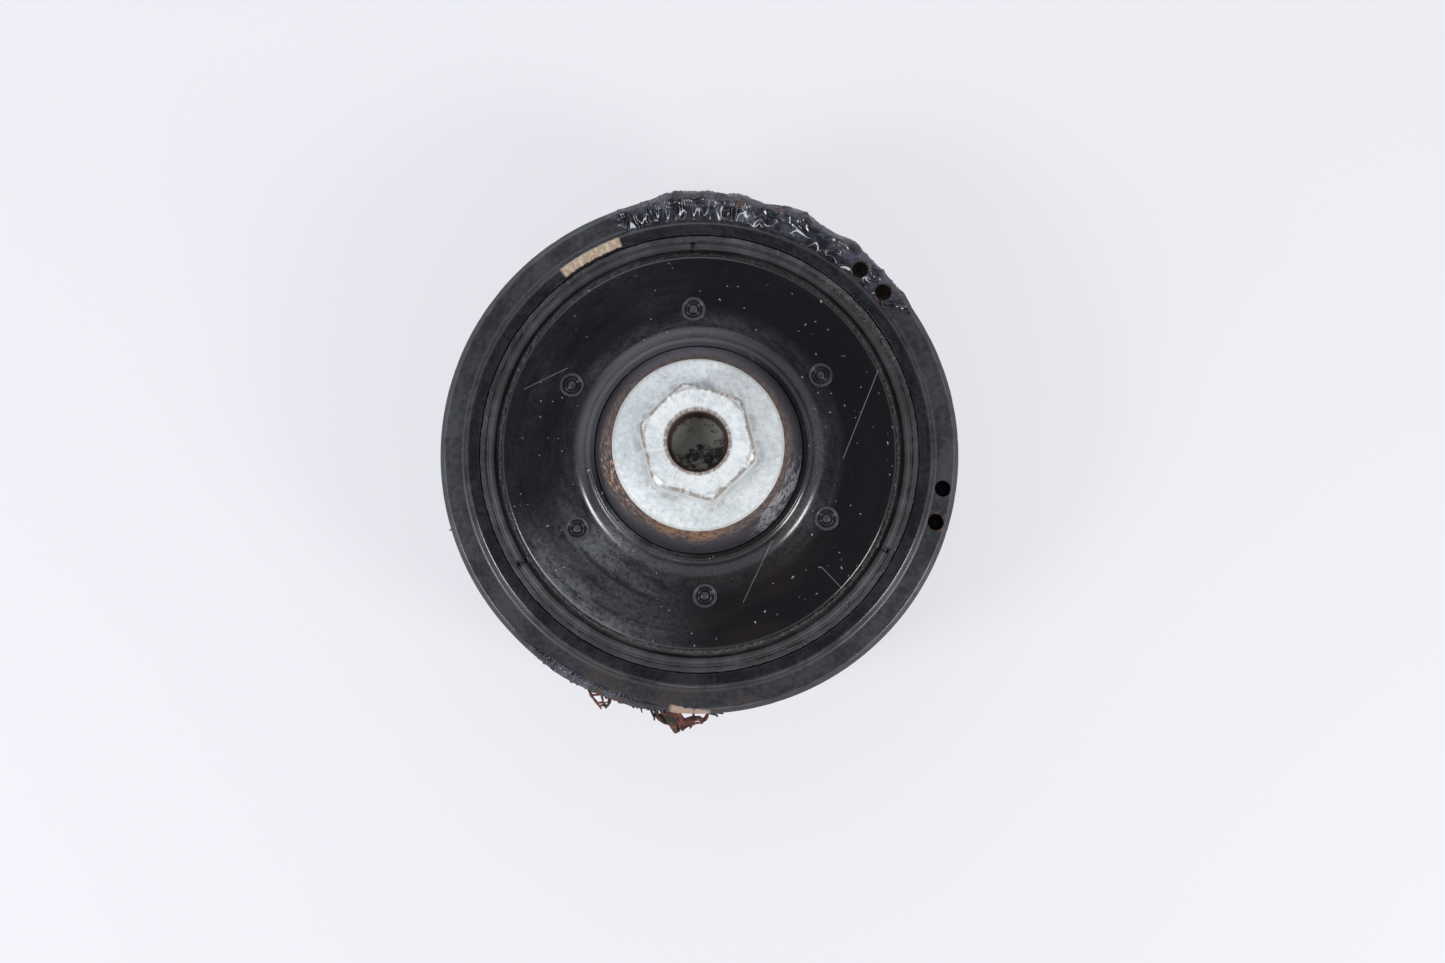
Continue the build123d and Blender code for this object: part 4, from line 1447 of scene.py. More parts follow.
@dataclass
class TornStrips:
    """The shreds at the lower edge: flat, curled strips that cross each other and leave holes."""

    ring: InertiaRingAssembly
    brown: tuple[Strip, ...] = (
        Strip((261.6, 76.6), (265.3, 83.6), 2.5, 0.5, 3.0),
        Strip((263.2, 76.6), (265.8, 83.2), 2.7, -0.2, 3.4),
        Strip((264.9, 76.6), (266.5, 82.7), 2.3, 0.3, 2.8),
        Strip((265.2, 82.2), (270.9, 79.0), 2.1, 1.0, 3.1),
        Strip((266.2, 82.6), (270.3, 80.4), 1.2, 0.7, 3.6),
        Strip((270.3, 80.3), (272.2, 76.6), 1.1, -0.4, 3.3),
        Strip((268.6, 76.6), (268.0, 82.0), 0.8, 0.5, 3.9),
        Strip((259.3, 76.6), (261.6, 79.9), 1.3, 0.3, 2.9),
        Strip((260.2, 78.4), (265.6, 81.3), 2.0, -0.6, 3.8),
        Strip((261.8, 78.6), (266.8, 79.2), 2.2, 0.2, 4.2),
        Strip((244.4, 76.9), (249.2, 81.4), 1.0, -0.5, 3.2),
        Strip((246.6, 76.7), (249.5, 80.7), 0.8, 0.4, 3.7),
        Strip((249.7, 76.8), (249.9, 80.9), 1.1, 0.4, 3.0),
        Strip((246.2, 78.8), (248.4, 77.6), 0.6, 0.2, 3.5),
        Strip((247.9, 80.1), (250.0, 78.7), 0.7, -0.2, 3.9),
        Strip((248.6, 80.7), (250.3, 80.0), 0.8, 0.2, 3.4),
    )
    black: tuple[Strip, ...] = (
        Strip((258.7, 76.5), (260.5, 80.6), 0.8, 0.2, 2.4),
        Strip((270.6, 76.6), (274.1, 78.5), 1.3, 0.3, 2.2),
        Strip((272.0, 76.4), (275.2, 78.0), 1.0, 0.2, 3.0),
        Strip((256.6, 76.8), (257.6, 79.1), 0.6, 0.1, 2.8),
        Strip((254.4, 76.8), (255.6, 78.3), 0.7, 0.1, 2.6),
        Strip((251.2, 76.8), (252.8, 78.2), 0.7, 0.1, 2.9),
        Strip((196.4, 76.8), (197.2, 78.1), 0.6, 0.1, 2.6),
    )
    fringe: int = 70
    rings: int = 22
    sides: int = 10

    def fringe_strips(self) -> tuple[Strip, ...]:
        """Small teeth of torn film along the lower edge, placed by a seeded draw.

        Returns:
            The teeth.
        """
        random = np.random.default_rng(2024)
        angles = random.uniform(231, 262, self.fringe)
        length = random.uniform(0.15, 0.75, self.fringe)
        lean = random.normal(0, 0.5, self.fringe)
        width = random.uniform(0.3, 0.8, self.fringe)
        drop = random.uniform(1.2, 4.5, self.fringe)
        return tuple(Strip((a, 76.9), (a + l, 77.5 + h), w, 0.05, d)
                     for a, l, h, w, d in zip(angles, lean, length, width, drop))

    def sweep(self, name: str, strips: Sequence[Strip], seed: int) -> bpy.types.Object:
        """Sweep every strip at once.

        A strip's path is a quadratic curve from start to end, bowed sideways, plus sines for
        the curl. Its section is a flat ellipse whose half width is width / 2 times a profile
        that narrows to the tip and is frayed by noise, and which twists along the path.

        Args:
            name: the piece's name.
            strips: the strips.
            seed: picks their curl and fraying.

        Returns:
            All the strips as one object.
        """
        random = np.random.default_rng(seed)
        ring = self.ring
        count, rings, sides = len(strips), self.rings, self.sides

        def flat(ends: Sequence[tuple[float, float]]) -> Array:
            """Ends as points in the plane, in metres.

            Args:
                ends: (angle in degrees, radius in mm) of each.

            Returns:
                One row of x and y for each end.
            """
            polar_ends = np.array(ends)
            turn = np.radians(polar_ends[:, 0])
            return np.stack([np.cos(turn), np.sin(turn)], axis=-1) * polar_ends[:, 1:] * MM

        start, end = flat([s.start for s in strips]), flat([s.end for s in strips])
        run = end - start
        side = np.stack([-run[:, 1], run[:, 0]], axis=-1)
        side /= np.linalg.norm(side, axis=-1, keepdims=True)
        bow = np.array([s.bow for s in strips])[:, None, None] * MM
        drop = np.array([s.drop for s in strips])[:, None] * MM
        width = np.array([s.width for s in strips])[:, None] * MM
        share = np.linspace(0, 1, rings)[None]
        phase = random.uniform(0, TAU, (count, 4, 1))
        arch = (4 * share * (1 - share))[..., None]
        plane = start[:, None] + run[:, None] * share[..., None] + side[:, None] * arch * bow
        plane = plane + side[:, None] * (0.16 * MM * np.sin(9 * share + phase[:, 0]) * share)[..., None]
        lift = ring.front - drop + 0.55 * MM * np.sin(4 * share + phase[:, 1]) * share
        path = np.concatenate([plane, lift[..., None]], axis=-1)
        tangent = np.gradient(path, axis=1)
        tangent /= np.linalg.norm(tangent, axis=-1, keepdims=True)
        across = np.cross(np.array([0, 0, 1.0]), tangent)
        across /= np.linalg.norm(across, axis=-1, keepdims=True)
        above = np.cross(tangent, across)
        twist = (0.5 * np.sin(3 * share + phase[:, 2]))[..., None]
        cos, sin = np.cos(twist), np.sin(twist)
        across, above = across * cos + above * sin, above * cos - across * sin
        frayed = 1 + 0.28 * layered_noise(path, 0.9 * MM, seed, 2)
        half = 0.5 * width * frayed * (1 - 0.6 * share ** 5)
        thick = (0.10 + 0.05 * np.sin(7 * share + phase[:, 3])) * MM
        around = np.arange(sides) * TAU / sides
        ring_points = across[:, :, None] * (np.cos(around) * half[..., None])[..., None] \
            + above[:, :, None] * (np.sin(around) * thick[..., None])[..., None]
        points = path[:, :, None, :] + ring_points
        offsets = np.arange(count) * rings * sides
        one = grid_quads(rings, sides, False, True)[:, ::-1]
        quads = (one[None] + offsets[:, None, None]).reshape(-1, 4)
        first = np.arange(sides)[None, ::-1] + offsets[:, None]
        last = np.arange(sides)[None] + (rings - 1) * sides + offsets[:, None]
        return build_mesh(name, points.reshape(-1, 3), [quads, first, last], 60)

    def build(self) -> None:
        """Make the brown shreds and the black torn film beside them."""
        brown = self.sweep("belt_cord_shreds", self.brown, 7)
        settle(brown, TornCord(), "damper_ring", "belt_shreds")
        black = self.sweep("torn_film", self.black + self.fringe_strips(), 11)
        settle(black, SmearedBelt(name="torn_film"), "damper_ring")


@dataclass
class DamperRubberAssembly:
    """The damper's rubber: a lip, a groove and a beaded ring, with torn flash at its inner side."""

    inner: float
    outer: float
    rear: float
    ring_front: float
    top: float
    bead_outer: float = 62.95 * MM
    bead_inner: float = 60.55 * MM
    lip: float = 63.9 * MM
    gates: tuple[float, ...] = (91.8, 211.8, 332.4)
    hidden_step: float = 4 * MM
    stations: int = 960
    flash_stations: int = 1400

    @classmethod
    def from_frame(cls) -> "DamperRubberAssembly":
        """Read the rubber's main sizes from its CAD node and its neighbours'.

        Returns:
            The assembly.
        """
        (low, high), (_, plate_high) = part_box("damper_rubber"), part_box("front_plate")
        return cls(inner=plate_high.x - 0.5 * MM, outer=high.x, rear=low.z,
                   ring_front=high.z - 2.5 * MM, top=high.z)

    def outline(self) -> Array:
        """The rubber's section: rear face, outer lip, groove, bead, groove and inner lip.

        Returns:
            (radius, height) rows.
        """
        corners = (
            Corner(self.inner, self.rear, 0.8 * MM, self.hidden_step),
            Corner(self.outer, self.rear, 0.8 * MM, self.hidden_step),
            Corner(self.outer, self.ring_front + 1.65 * MM, 0.35 * MM),
            Corner(self.lip, self.ring_front + 1.40 * MM, 0.4 * MM),
            Corner(self.bead_outer + 0.5 * MM, self.ring_front + 1.05 * MM, 0.45 * MM),
            Corner(self.bead_outer, self.ring_front + 1.20 * MM, 0.3 * MM),
            Corner(self.bead_outer - 0.35 * MM, self.top, 1.0 * MM),
            Corner(self.bead_inner + 0.25 * MM, self.top, 1.0 * MM),
            Corner(self.bead_inner, self.ring_front + 1.20 * MM, 0.4 * MM),
            Corner(self.bead_inner - 0.55 * MM, self.ring_front + 1.10 * MM, 0.3 * MM),
            Corner(self.bead_inner - 0.9 * MM, self.ring_front + 1.40 * MM, 0.3 * MM),
            Corner(self.inner, self.ring_front + 1.5 * MM, 0.2 * MM, self.hidden_step),
        )
        return rounded_outline(corners, 0.5 * MM)

    def shape(self, points: Array) -> Array:
        """Cut the gate notches into the bead and make the lips uneven.

        A notch is a V: the depth falls with the distance along the bead from the gate, and
        only the bead's radii take it. The lip's height follows layered noise.

        Args:
            points: the rubber's points.

        Returns:
            The moved points.
        """
        radius = radius_of(points)
        angle = degrees_of(points)
        moved = points.copy()
        above = smooth_step(points[..., 2], self.ring_front - 0.4 * MM, self.ring_front + 0.6 * MM)
        on_bead = bump_between(radius, self.bead_inner - 0.1 * MM, self.bead_outer + 0.1 * MM, 0.3 * MM)
        for gate in self.gates:
            away = np.radians(np.abs((angle - gate + 180) % 360 - 180)) * radius
            depth = np.clip(1 - away / (1.0 * MM), 0, 1) ** 0.8
            moved[..., 2] -= 1.25 * MM * depth * on_bead * above
        lip = smooth_step(radius, self.bead_outer + 0.5 * MM, self.lip)
        ragged = layered_noise(points * np.array([1, 1, 0.3]), 1.6 * MM, 71)
        moved[..., 2] += above * lip * 0.28 * MM * ragged
        shift = above * lip * 0.22 * MM * layered_noise(points, 1.1 * MM, 73)
        scale = 1 + np.where(radius < self.outer - 0.3 * MM, shift, 0) / radius
        moved[..., :2] *= scale[..., None]
        moved[..., 2] += above * on_bead * 0.04 * MM * layered_noise(points, 7 * MM, 77)
        return moved

    def build_flash(self) -> None:
        """Make the torn flash between the bead and the plate: a thin ring with uneven edges."""
        low, high = self.ring_front + 1.0 * MM, self.ring_front + 2.3 * MM
        corners = (
            Corner(58.25 * MM, low, 0.1 * MM),
            Corner(59.75 * MM, low, 0.1 * MM),
            Corner(59.65 * MM, high - 0.3 * MM, 0.25 * MM),
            Corner(58.9 * MM, high + 0.1 * MM, 0.3 * MM),
            Corner(58.3 * MM, high - 0.1 * MM, 0.25 * MM),
        )

        def tear(points: Array) -> Array:
            """Raise, drop and widen the flash with two sizes of noise.

            Args:
                points: the flash's points.

            Returns:
                The moved points.
            """
            radius = radius_of(points)
            coarse = layered_noise(points, 1.8 * MM, 81)
            small = layered_noise(points, 0.7 * MM, 83, 2)
            top = smooth_step(points[..., 2], low + 0.2 * MM, high)
            moved = points.copy()
            moved[..., 2] += top * (0.30 * coarse + 0.16 * small) * MM
            scale = 1 + top * (0.20 * coarse + 0.12 * small) * MM / radius
            moved[..., :2] *= scale[..., None]
            return moved

        made = turned_ring("rubber_flash", rounded_outline(corners, 0.3 * MM),
                           self.flash_stations, tear)
        settle(made, RubberFlash(), "hub_body")

    def build(self) -> None:
        """Make the rubber and its flash."""
        made = turned_ring("damper_rubber_moulding", self.outline(), self.stations, self.shape)
        settle(made, MouldedRubber(), "hub_body", "damper_rubber")
        self.build_flash()


@dataclass
class FrontPlateAssembly:
    """The pressed front plate with its drawn collar, and the six dished rivets."""

    outer: float
    rear: float
    front: float
    collar_top: float
    collar_inner: float = 30.55 * MM
    collar_outer: float = 33.3 * MM
    bend: float = 4.6 * MM
    rivet_circle: float = 42.5 * MM
    rivet_first: float = 32.3
    rivet_radius: float = 3.6 * MM
    rivet_count: int = 6
    rivet_stations: int = 56
    stations: int = 720

    @classmethod
    def from_frame(cls) -> "FrontPlateAssembly":
        """Read the plate's main sizes from its CAD node."""
        low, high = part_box("front_plate")
        return cls(outer=high.x, rear=low.z, front=low.z + 2.5 * MM, collar_top=high.z)

    def rivet_places(self) -> list[tuple[float, float]]:
        """Where the rivets are, seen from the front."""
        step = 360 / self.rivet_count
        return [polar(self.rivet_circle, self.rivet_first + step * k) for k in range(self.rivet_count)]

    def outline(self) -> Array:
        """The plate's section, anticlockwise, with its bend and the collar's two-step lip.

        Returns:
            (radius, height) rows.
        """
        shoulder = self.collar_outer - 0.9 * MM
        corners = (
            Corner(self.collar_inner, self.rear + 0.02 * MM, 0.3 * MM),
            Corner(self.outer, self.rear + 0.02 * MM, 0.5 * MM),
            Corner(self.outer, self.front, 0.9 * MM),
            Corner(self.collar_outer + 0.62 * self.bend, self.front, self.bend),
            Corner(self.collar_outer + 0.10 * MM, self.front + 0.62 * self.bend, 0.8 * self.bend),
            Corner(self.collar_outer, self.collar_top - 2.2 * MM, 0.7 * MM),
            Corner(shoulder, self.collar_top - 1.7 * MM, 0.4 * MM),
            Corner(shoulder - 0.15 * MM, self.collar_top, 0.5 * MM),
            Corner(self.collar_inner, self.collar_top, 0.15 * MM),
        )
        return rounded_outline(corners, 1.5 * MM)

    def dent(self, points: Array) -> Array:
        """Give the plate's flat the faint waves of a pressing.

        Args:
            points: the plate's points.

        Returns:
            The moved points.
        """
        moved = points.copy()
        top = smooth_step(points[..., 2], self.front - 0.6 * MM, self.front - 0.1 * MM)
        flat = 1 - smooth_step(points[..., 2], self.front + 0.1 * MM, self.front + 0.6 * MM)
        moved[..., 2] += top * flat * 0.035 * MM * layered_noise(points, 16 * MM, 91, 2)
        return moved

    def build_plate(self) -> None:
        """Turn the plate and punch its rivet holes."""
        made = turned_ring("front_plate_pressing", self.outline(), self.stations, self.dent)
        cut_away(made, drills("rivet_punch", self.rivet_places(), self.rivet_radius + 0.04 * MM,
                              self.rear - 1 * MM, self.front + 1 * MM))
        settle(made, StoveEnamel(), "hub_body", "front_plate")

    def build_rivets(self) -> None:
        """Make six rivets: a rolled lip, a dish and a centre nub, turned from one outline."""
        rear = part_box("plate_rivets")[0].z
        top = self.front + 0.32 * MM
        corners = (
            Corner(0.0, rear),
            Corner(3.5 * MM, rear, 0.5 * MM),
            Corner(3.5 * MM, rear + 1.8 * MM, 0.2 * MM),
            Corner(2.1 * MM, rear + 1.8 * MM, 0.1 * MM),
            Corner(2.1 * MM, self.rear, 0.1 * MM),
            Corner(self.rivet_radius, self.rear, 0.2 * MM),
            Corner(self.rivet_radius, self.front - 0.05 * MM, 0.1 * MM),
            Corner(self.rivet_radius - 0.05 * MM, top, 0.32 * MM),
            Corner(self.rivet_radius - 0.75 * MM, top - 0.1 * MM, 0.35 * MM),
            Corner(self.rivet_radius - 1.2 * MM, top - 1.0 * MM, 0.5 * MM),
            Corner(1.95 * MM, top - 0.28 * MM, 0.28 * MM),
            Corner(1.40 * MM, top - 1.05 * MM, 0.22 * MM),
            Corner(1.05 * MM, top - 0.15 * MM, 0.40 * MM),
            Corner(0.0, top - 0.05 * MM),
        )
        outline = rounded_outline(corners, 0.6 * MM, closed=False)[1:-1]
        turns = np.arange(self.rivet_stations) * TAU / self.rivet_stations
        one = turn_points(outline, turns).reshape(-1, 3)
        one = np.concatenate([one, [[0, 0, rear], [0, 0, top - 0.05 * MM]]])
        points = np.concatenate([one + np.array([x, y, 0]) for x, y in self.rivet_places()])
        offsets = (np.arange(self.rivet_count) * len(one))[:, None, None]
        faces = [(part[None] + offsets).reshape(-1, part.shape[1])
                 for part in skin_faces(self.rivet_stations, len(outline))]
        settle(build_mesh("dished_rivets", points, faces, 60), RivetEnamel(),
               "hub_body", "plate_rivets")

    def build(self) -> None:
        """Make the plate and its rivets."""
        self.build_plate()
        self.build_rivets()


@dataclass
class CrankBoltAssembly:
    """The centre bolt: rolled thread, waisted shank, coned flange and a drilled hexagon."""

    tip: float
    seat: float
    crown: float
    flange_radius: float
    thread_radius: float = 9.0 * MM
    pitch: float = 1.5 * MM
    thread_length: float = 36.0 * MM
    waist: float = 8.2 * MM
    flats: float = 15.0 * MM
    turn: float = 43.8
    recess_radius: float = 8.6 * MM
    recess_depth: float = 9.0 * MM
    foot_round: float = 0.85 * MM
    corner_round: float = 0.62 * MM
    cone_start: float = 14.8 * MM
    cone_slope: float = 32.0
    rim_round: float = 0.7 * MM
    stations: int = 348

    @classmethod
    def from_frame(cls) -> "CrankBoltAssembly":
        """Read the bolt's main sizes from its CAD node and the hub's."""
        (low, high), (_, hub_high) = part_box("crank_bolt"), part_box("hub")
        return cls(tip=low.z, seat=hub_high.z, crown=high.z, flange_radius=high.x)

    def hexagon(self, angle: Array, rounding: float) -> Array:
        """The hexagon's reach at each angle: flats / cos(turn from the flat's middle), with its
        corners eased by a smooth minimum against the corner circle less the rounding.

        Args:
            angle: the stations' angles, in radians.
            rounding: how much is taken off each corner.

        Returns:
            The reach at each angle.
        """
        from_flat = (np.degrees(angle) - self.turn) % 60 - 30
        reach = self.flats / np.cos(np.radians(from_flat))
        limit = self.flats / math.cos(math.pi / 6) - rounding
        soft = 0.22 * MM
        return -soft * np.logaddexp(-reach / soft, -limit / soft)

    def head_rings(self, angle: Array) -> tuple[Array, Array]:
        """Radius and height of each ring of the head, from the flange's rim to the recess's floor.

        The crown's cone cuts the hexagon at crown - (reach - cone start) x tan(its slope), so
        each ring of the hexagon's wall is placed by its share of the height up to that cut.

        Args:
            angle: the stations' angles, in radians.

        Returns:
            Radii and heights, indexed by station and ring.
        """
        reach = self.hexagon(angle, self.corner_round)
        flange_edge = self.seat + 1.9 * MM
        foot = self.seat + 3.1 * MM
        ones = np.ones_like(angle)
        cone_start = self.cone_start
        cut = self.crown - np.clip(reach - cone_start, 0, None) * math.tan(math.radians(self.cone_slope))
        radii: list[Array] = []
        heights: list[Array] = []

        def ring(radius: Array | float, height: Array | float) -> None:
            """Add one ring."""
            radii.append(ones * radius)
            heights.append(ones * height)

        rim, rim_round = self.flange_radius, self.rim_round
        for share in np.linspace(0, 1, 5):
            tilt = share * math.pi / 2
            ring(rim - rim_round * (1 - math.cos(tilt)), flange_edge - rim_round * (1 - math.sin(tilt)))
        for share in np.linspace(0.05, 1, 14):
            inner = reach + self.foot_round
            ring((rim - rim_round) * (1 - share) + inner * share,
                 flange_edge + (foot - flange_edge) * math.sin(share * math.pi / 2))
        for share in np.linspace(0.15, 1, 6):
            tilt = share * math.pi / 2
            ring(reach + self.foot_round * (1 - math.sin(tilt)),
                 foot + self.foot_round * (1 - math.cos(tilt)))
        base = foot + self.foot_round
        for share in np.linspace(0.1, 0.97, 12):
            ring(reach, base + (cut - base) * share)
        for share in (0.0, 0.25, 0.5, 0.75, 1.0):
            ring(reach + (cone_start - 0.2 * MM - reach) * share - 0.08 * MM * (1 - share),
                 cut + (self.crown - cut) * share)
        mouth = self.recess_radius
        for share in np.linspace(0.12, 1, 9):
            radius = (cone_start - 0.2 * MM) * (1 - share) + (mouth + 0.5 * MM) * share
            ring(radius, self.crown - 0.05 * MM * math.sin(share * math.pi))
        for share in np.linspace(0.2, 1, 5):
            tilt = share * math.pi / 2
            ring(mouth + 0.5 * MM * (1 - math.sin(tilt)), self.crown - 0.5 * MM * (1 - math.cos(tilt)))
        for share in np.linspace(0.1, 1, 12):
            ring(mouth - 0.25 * MM * share,
                 self.crown - 0.5 * MM - (self.recess_depth - 1.9 * MM) * share)
        for share in np.linspace(0.15, 1, 7):
            tilt = share * math.pi / 2
            ring(mouth - 0.25 * MM - 1.4 * MM * (1 - math.cos(tilt)),
                 self.crown - self.recess_depth + 1.4 * MM * (1 - math.sin(tilt)))
        for share in np.linspace(0.12, 0.94, 8):
            ring((mouth - 1.65 * MM) * (1 - share), self.crown - self.recess_depth - 0.5 * MM * share)
        return np.stack(radii, axis=1), np.stack(heights, axis=1)

    def shank_rings(self, angle: Array) -> tuple[Array, Array]:
        """Radius and height of each ring of the shank, from its tip to the flange's underside.

        In the thread the radius is the outer radius less the depth times a triangle wave of
        (height / pitch - angle / full turn), which is a right-hand helix; it fades at both ends.

        Args:
            angle: the stations' angles, in radians.

        Returns:
            Radii and heights, indexed by station and ring.
        """
        depth = 0.61 * self.pitch
        top = self.tip + self.thread_length
        thread = np.arange(self.tip + 1.0 * MM, top, self.pitch / 8)
        phase = thread[None, :] / self.pitch - angle[:, None] / TAU
        saw = np.abs(phase - np.floor(phase) - 0.5) * 2
        cut = np.clip((1 - saw) * 1.15 - 0.05, 0, 1)
        fade = np.clip((thread - self.tip - 0.6 * MM) / (2.2 * MM), 0,
                       1) * np.clip((top - thread) / (2 * MM), 0, 1)
        end = np.clip((thread - self.tip) / (2.2 * MM), 0, 1) * 1.1 * MM
        radius_thread = self.thread_radius - 1.1 * MM + end[None] - depth * cut * fade[None]
        ones = np.ones_like(angle)[:, None]
        tip_radius = ones * np.array([0.35, 0.75, 0.84]) * self.thread_radius
        tip_height = ones * (self.tip + np.array([0.0, 0.0, 0.25]) * MM)
        waist_height = np.array([top + 0.6 * MM, top + 1.2 * MM, self.seat - 3 * MM, self.seat - 0.8 * MM,
                                 self.seat - 0.2 * MM, self.seat, self.seat, self.seat,
                                 self.seat + 0.5 * MM])
        waist_radius = np.array([self.waist + 0.3 * MM, self.waist, self.waist, self.waist + 0.05 * MM,
                                 self.waist + 0.4 * MM, self.waist + 1.0 * MM, 0.7 * self.flange_radius,
                                 self.flange_radius - 0.6 * MM, self.flange_radius])
        radii = np.concatenate([tip_radius, radius_thread, ones * waist_radius], axis=1)
        heights = np.concatenate([tip_height, ones * thread, ones * waist_height], axis=1)
        return radii, heights

    def build(self) -> None:
        """Make the bolt as one closed skin."""
        angle = np.arange(self.stations) * TAU / self.stations + math.radians(self.turn)
        shank, head = self.shank_rings(angle), self.head_rings(angle)
        radius = np.concatenate([shank[0], head[0]], axis=1)
        height = np.concatenate([shank[1], head[1]], axis=1)
        points = np.stack([radius * np.cos(angle)[:, None], radius * np.sin(angle)[:, None], height],
                          axis=-1)
        hammered = smooth_step(points[..., 2], self.seat + 1 * MM, self.seat + 3 * MM)
        points[..., 2] += hammered * 0.03 * MM * layered_noise(points, 3 * MM, 101)
        flat = points.reshape(-1, 3)
        poles = np.array([[0, 0, self.tip], [0, 0, self.crown - self.recess_depth - 0.5 * MM]])
        made = build_mesh("flanged_bolt", np.concatenate([flat, poles]),
                          skin_faces(self.stations, radius.shape[1]), 50)
        settle(made, ZincPlate(crown=self.crown, flange=self.seat + 3.1 * MM),
               "centre_bolt", "crank_bolt")


class CarriedOver(Enum):
    """The CAD nodes that keep their own shape, with the finish each one gets."""

    HUB = ("hub", RustyForging())
    BELT_RIM = ("belt_rim", GroovedRim())
    INNER_SLEEVE = ("decoupler_inner_sleeve", PressedSteel())
    OUTER_SLEEVE = ("decoupler_outer_sleeve", PressedSteel())
    RETAINER = ("rear_retainer", PressedSteel())
    DECOUPLER_RUBBER = ("decoupler_rubber", MouldedRubber())
    GUIDE_BUSH = ("guide_bush", BearingPlastic())
    FRONT_WASHER = ("front_thrust_washer", BearingPlastic())
    REAR_WASHER = ("rear_thrust_washer", BearingPlastic())

    def dress(self) -> None:
        """Give the node its finish.
        """
        node, finish = self.value
        finish.dress(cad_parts[node])
        LOG.info("dressed %s", node)


# ------------------------------------------------------------------ studio

@dataclass
class SoftLamp:
    """A square soft light: where it is, what it points at, its side and its power."""

    name: str
    place: tuple[float, float, float]
    aim: tuple[float, float, float]
    side: float
    power: float
    colour: str = "#ffffff"

    def build(self) -> None:
        """Make the light."""
        data = bpy.data.lights.new(self.name, "AREA")
        data.shape = "SQUARE"
        data.size = self.side
        data.energy = self.power
        data.color = hex_colour(self.colour)[:3]
        lamp = bpy.data.objects.new(self.name, data)
        lamp.location = self.place
        direction = Vector(self.aim) - Vector(self.place)
        lamp.rotation_euler = direction.to_track_quat("-Z", "Y").to_euler()
        bpy.context.scene.collection.objects.link(lamp)


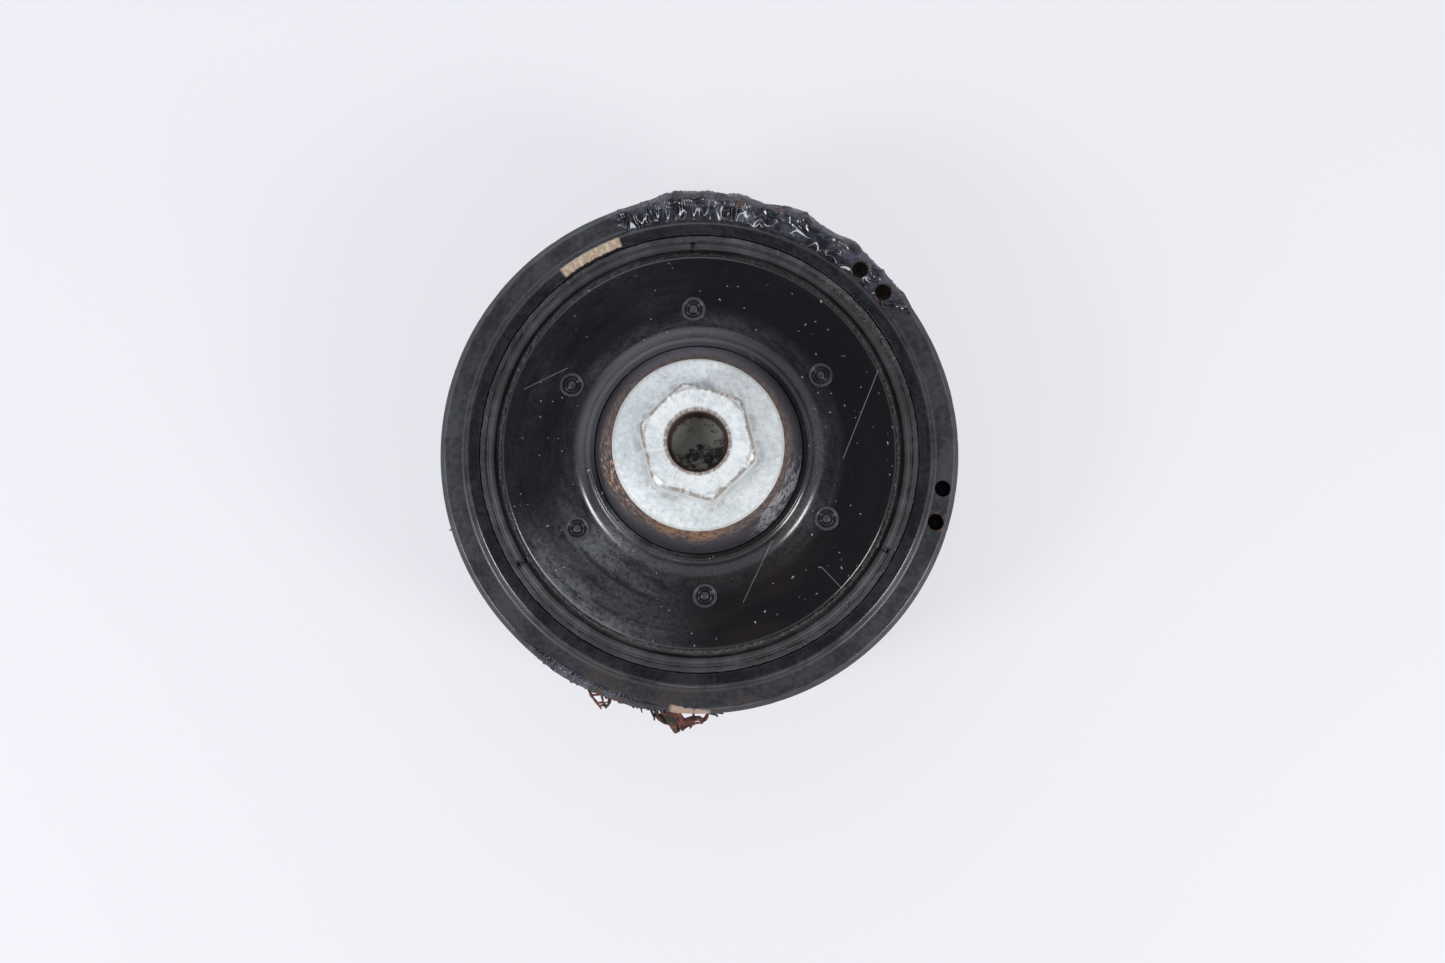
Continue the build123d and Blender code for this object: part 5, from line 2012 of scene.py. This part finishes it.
@dataclass
class Studio:
    """The camera, the pale table and the soft light."""

    rim_height: float = 46.5 * MM
    camera_place: tuple[float, float, float] = (6.9 * MM, -47.1 * MM, 645.2 * MM)
    camera_aim: tuple[float, float] = (6.9 * MM, -8.4 * MM)
    focal_length: float = 50.0
    table: str = "#737275"
    glow: float = 0.675
    sky: str = "#f2f3f9"
    sky_strength: float = 0.88
    overhead: float = 0.16
    lamps: list[SoftLamp] = field(default_factory=lambda: [
        SoftLamp("left_window", (-0.95, -0.45, 0.75), (0, 0, 0.04), 0.36, 11.0, "#fbfcff"),
        SoftLamp("right_window", (0.95, -0.55, 0.70), (0, 0, 0.04), 0.36, 11.0, "#fffdfb"),
        SoftLamp("back_fill", (-0.30, 1.10, 0.85), (0, 0, 0.04), 1.20, 4.5, "#f4f7ff"),
    ])

    def camera(self) -> None:
        """Look down on the pulley's front, from a little in front of its axis."""
        data = bpy.data.cameras.new("camera")
        data.lens = self.focal_length
        data.sensor_width = 36.0
        data.clip_start, data.clip_end = 0.01, 20.0
        cam = bpy.data.objects.new("camera", data)
        cam.location = self.camera_place
        look = Vector((*self.camera_aim, self.rim_height)) - Vector(self.camera_place)
        cam.rotation_mode = "QUATERNION"
        cam.rotation_quaternion = look.to_track_quat("-Z", "Y")
        bpy.context.scene.collection.objects.link(cam)
        bpy.context.scene.camera = cam

    def floor(self) -> None:
        """A pale table top of opal acrylic, faintly lit from below so that shadows stay soft."""
        half = 4.0
        corners = np.array([[-half, -half, 0], [half, -half, 0], [half, half, 0], [-half, half, 0]])
        made = build_mesh("table_top", corners, [np.array([[0, 1, 2, 3]])])
        paint = bpy.data.materials.new("table_acrylic")
        paint.use_nodes = True
        shader = paint.node_tree.nodes["Principled BSDF"]
        shader.inputs["Base Color"].default_value = hex_colour(self.table)
        shader.inputs["Roughness"].default_value = 0.6
        shader.inputs["Emission Color"].default_value = hex_colour(self.sky)
        shader.inputs["Emission Strength"].default_value = self.glow
        made.data.materials.append(paint)

    def light(self) -> None:
        """Even sky light and the soft lamps."""
        world = bpy.data.worlds.new("soft_sky")
        bpy.context.scene.world = world
        world.use_nodes = True
        tree = world.node_tree
        sky = tree.nodes["Background"]
        sky.inputs["Color"].default_value = hex_colour(self.sky)
        direction = add_node(tree, Do.COORDINATES).node.outputs["Generated"]
        dome = add_node(tree, Do.RAMP, add_node(tree, Do.SPLIT, direction), 0.72, 0.95, self.sky_strength,
                        self.overhead)
        tree.links.new(dome, sky.inputs["Strength"])
        for lamp in self.lamps:
            lamp.build()

    def build(self) -> None:
        """Make the camera, the table and the light."""
        self.camera()
        self.floor()
        self.light()
        bpy.context.scene.view_settings.view_transform = "Standard"


def main() -> None:
    """Build the studio, then the pulley from its rim to its bolt."""
    logging.basicConfig(level=logging.INFO, format="%(name)s: %(message)s")
    Studio().build()
    ring = InertiaRingAssembly.from_frame()
    ring.build()
    EdgeCrust(ring, "belt_smear_crust", first=33.5, last=111.5, reach=6.6 * MM, wall=12 * MM,
              film=0.16 * MM, ridge=0.85 * MM, fold=0.42 * MM,
              lumps=(Lump(54.5, 3.0, 1.5 * MM), Lump(68.5, 5.2, 2.1 * MM), Lump(81.5, 4.0, 1.3 * MM),
                     Lump(92.5, 7.5, 2.1 * MM), Lump(45.0, 9.0, 0.3 * MM)),
              nicks=((77.2, 55.0), (76.2, 56.2), (78.2, 63.0), (78.5, 66.5), (78.6, 71.0),
                     (77.2, 71.8), (76.8, 80.2), (75.8, 80.9), (78.3, 85.0), (77.9, 52.2)),
              replaced="belt_smear").build()
    EdgeCrust(ring, "lower_edge_film", first=224.0, last=263.0, reach=1.2 * MM, wall=7 * MM,
              film=0.07 * MM, ridge=0.17 * MM, fold=0.20 * MM,
              lumps=(Lump(238.0, 6.0, 0.35 * MM), Lump(257.5, 5.0, 0.5 * MM)),
              stations=420, seed=131, grain=0.42, crest_highlight_share=0.12, taper=11.0,
              nicks=((76.9, 247.5), (77.0, 252.0))).build()
    TornStrips(ring).build()
    DamperRubberAssembly.from_frame().build()
    FrontPlateAssembly.from_frame().build()
    CrankBoltAssembly.from_frame().build()
    for carried in CarriedOver:
        carried.dress()


if __name__ == "__main__":
    main()
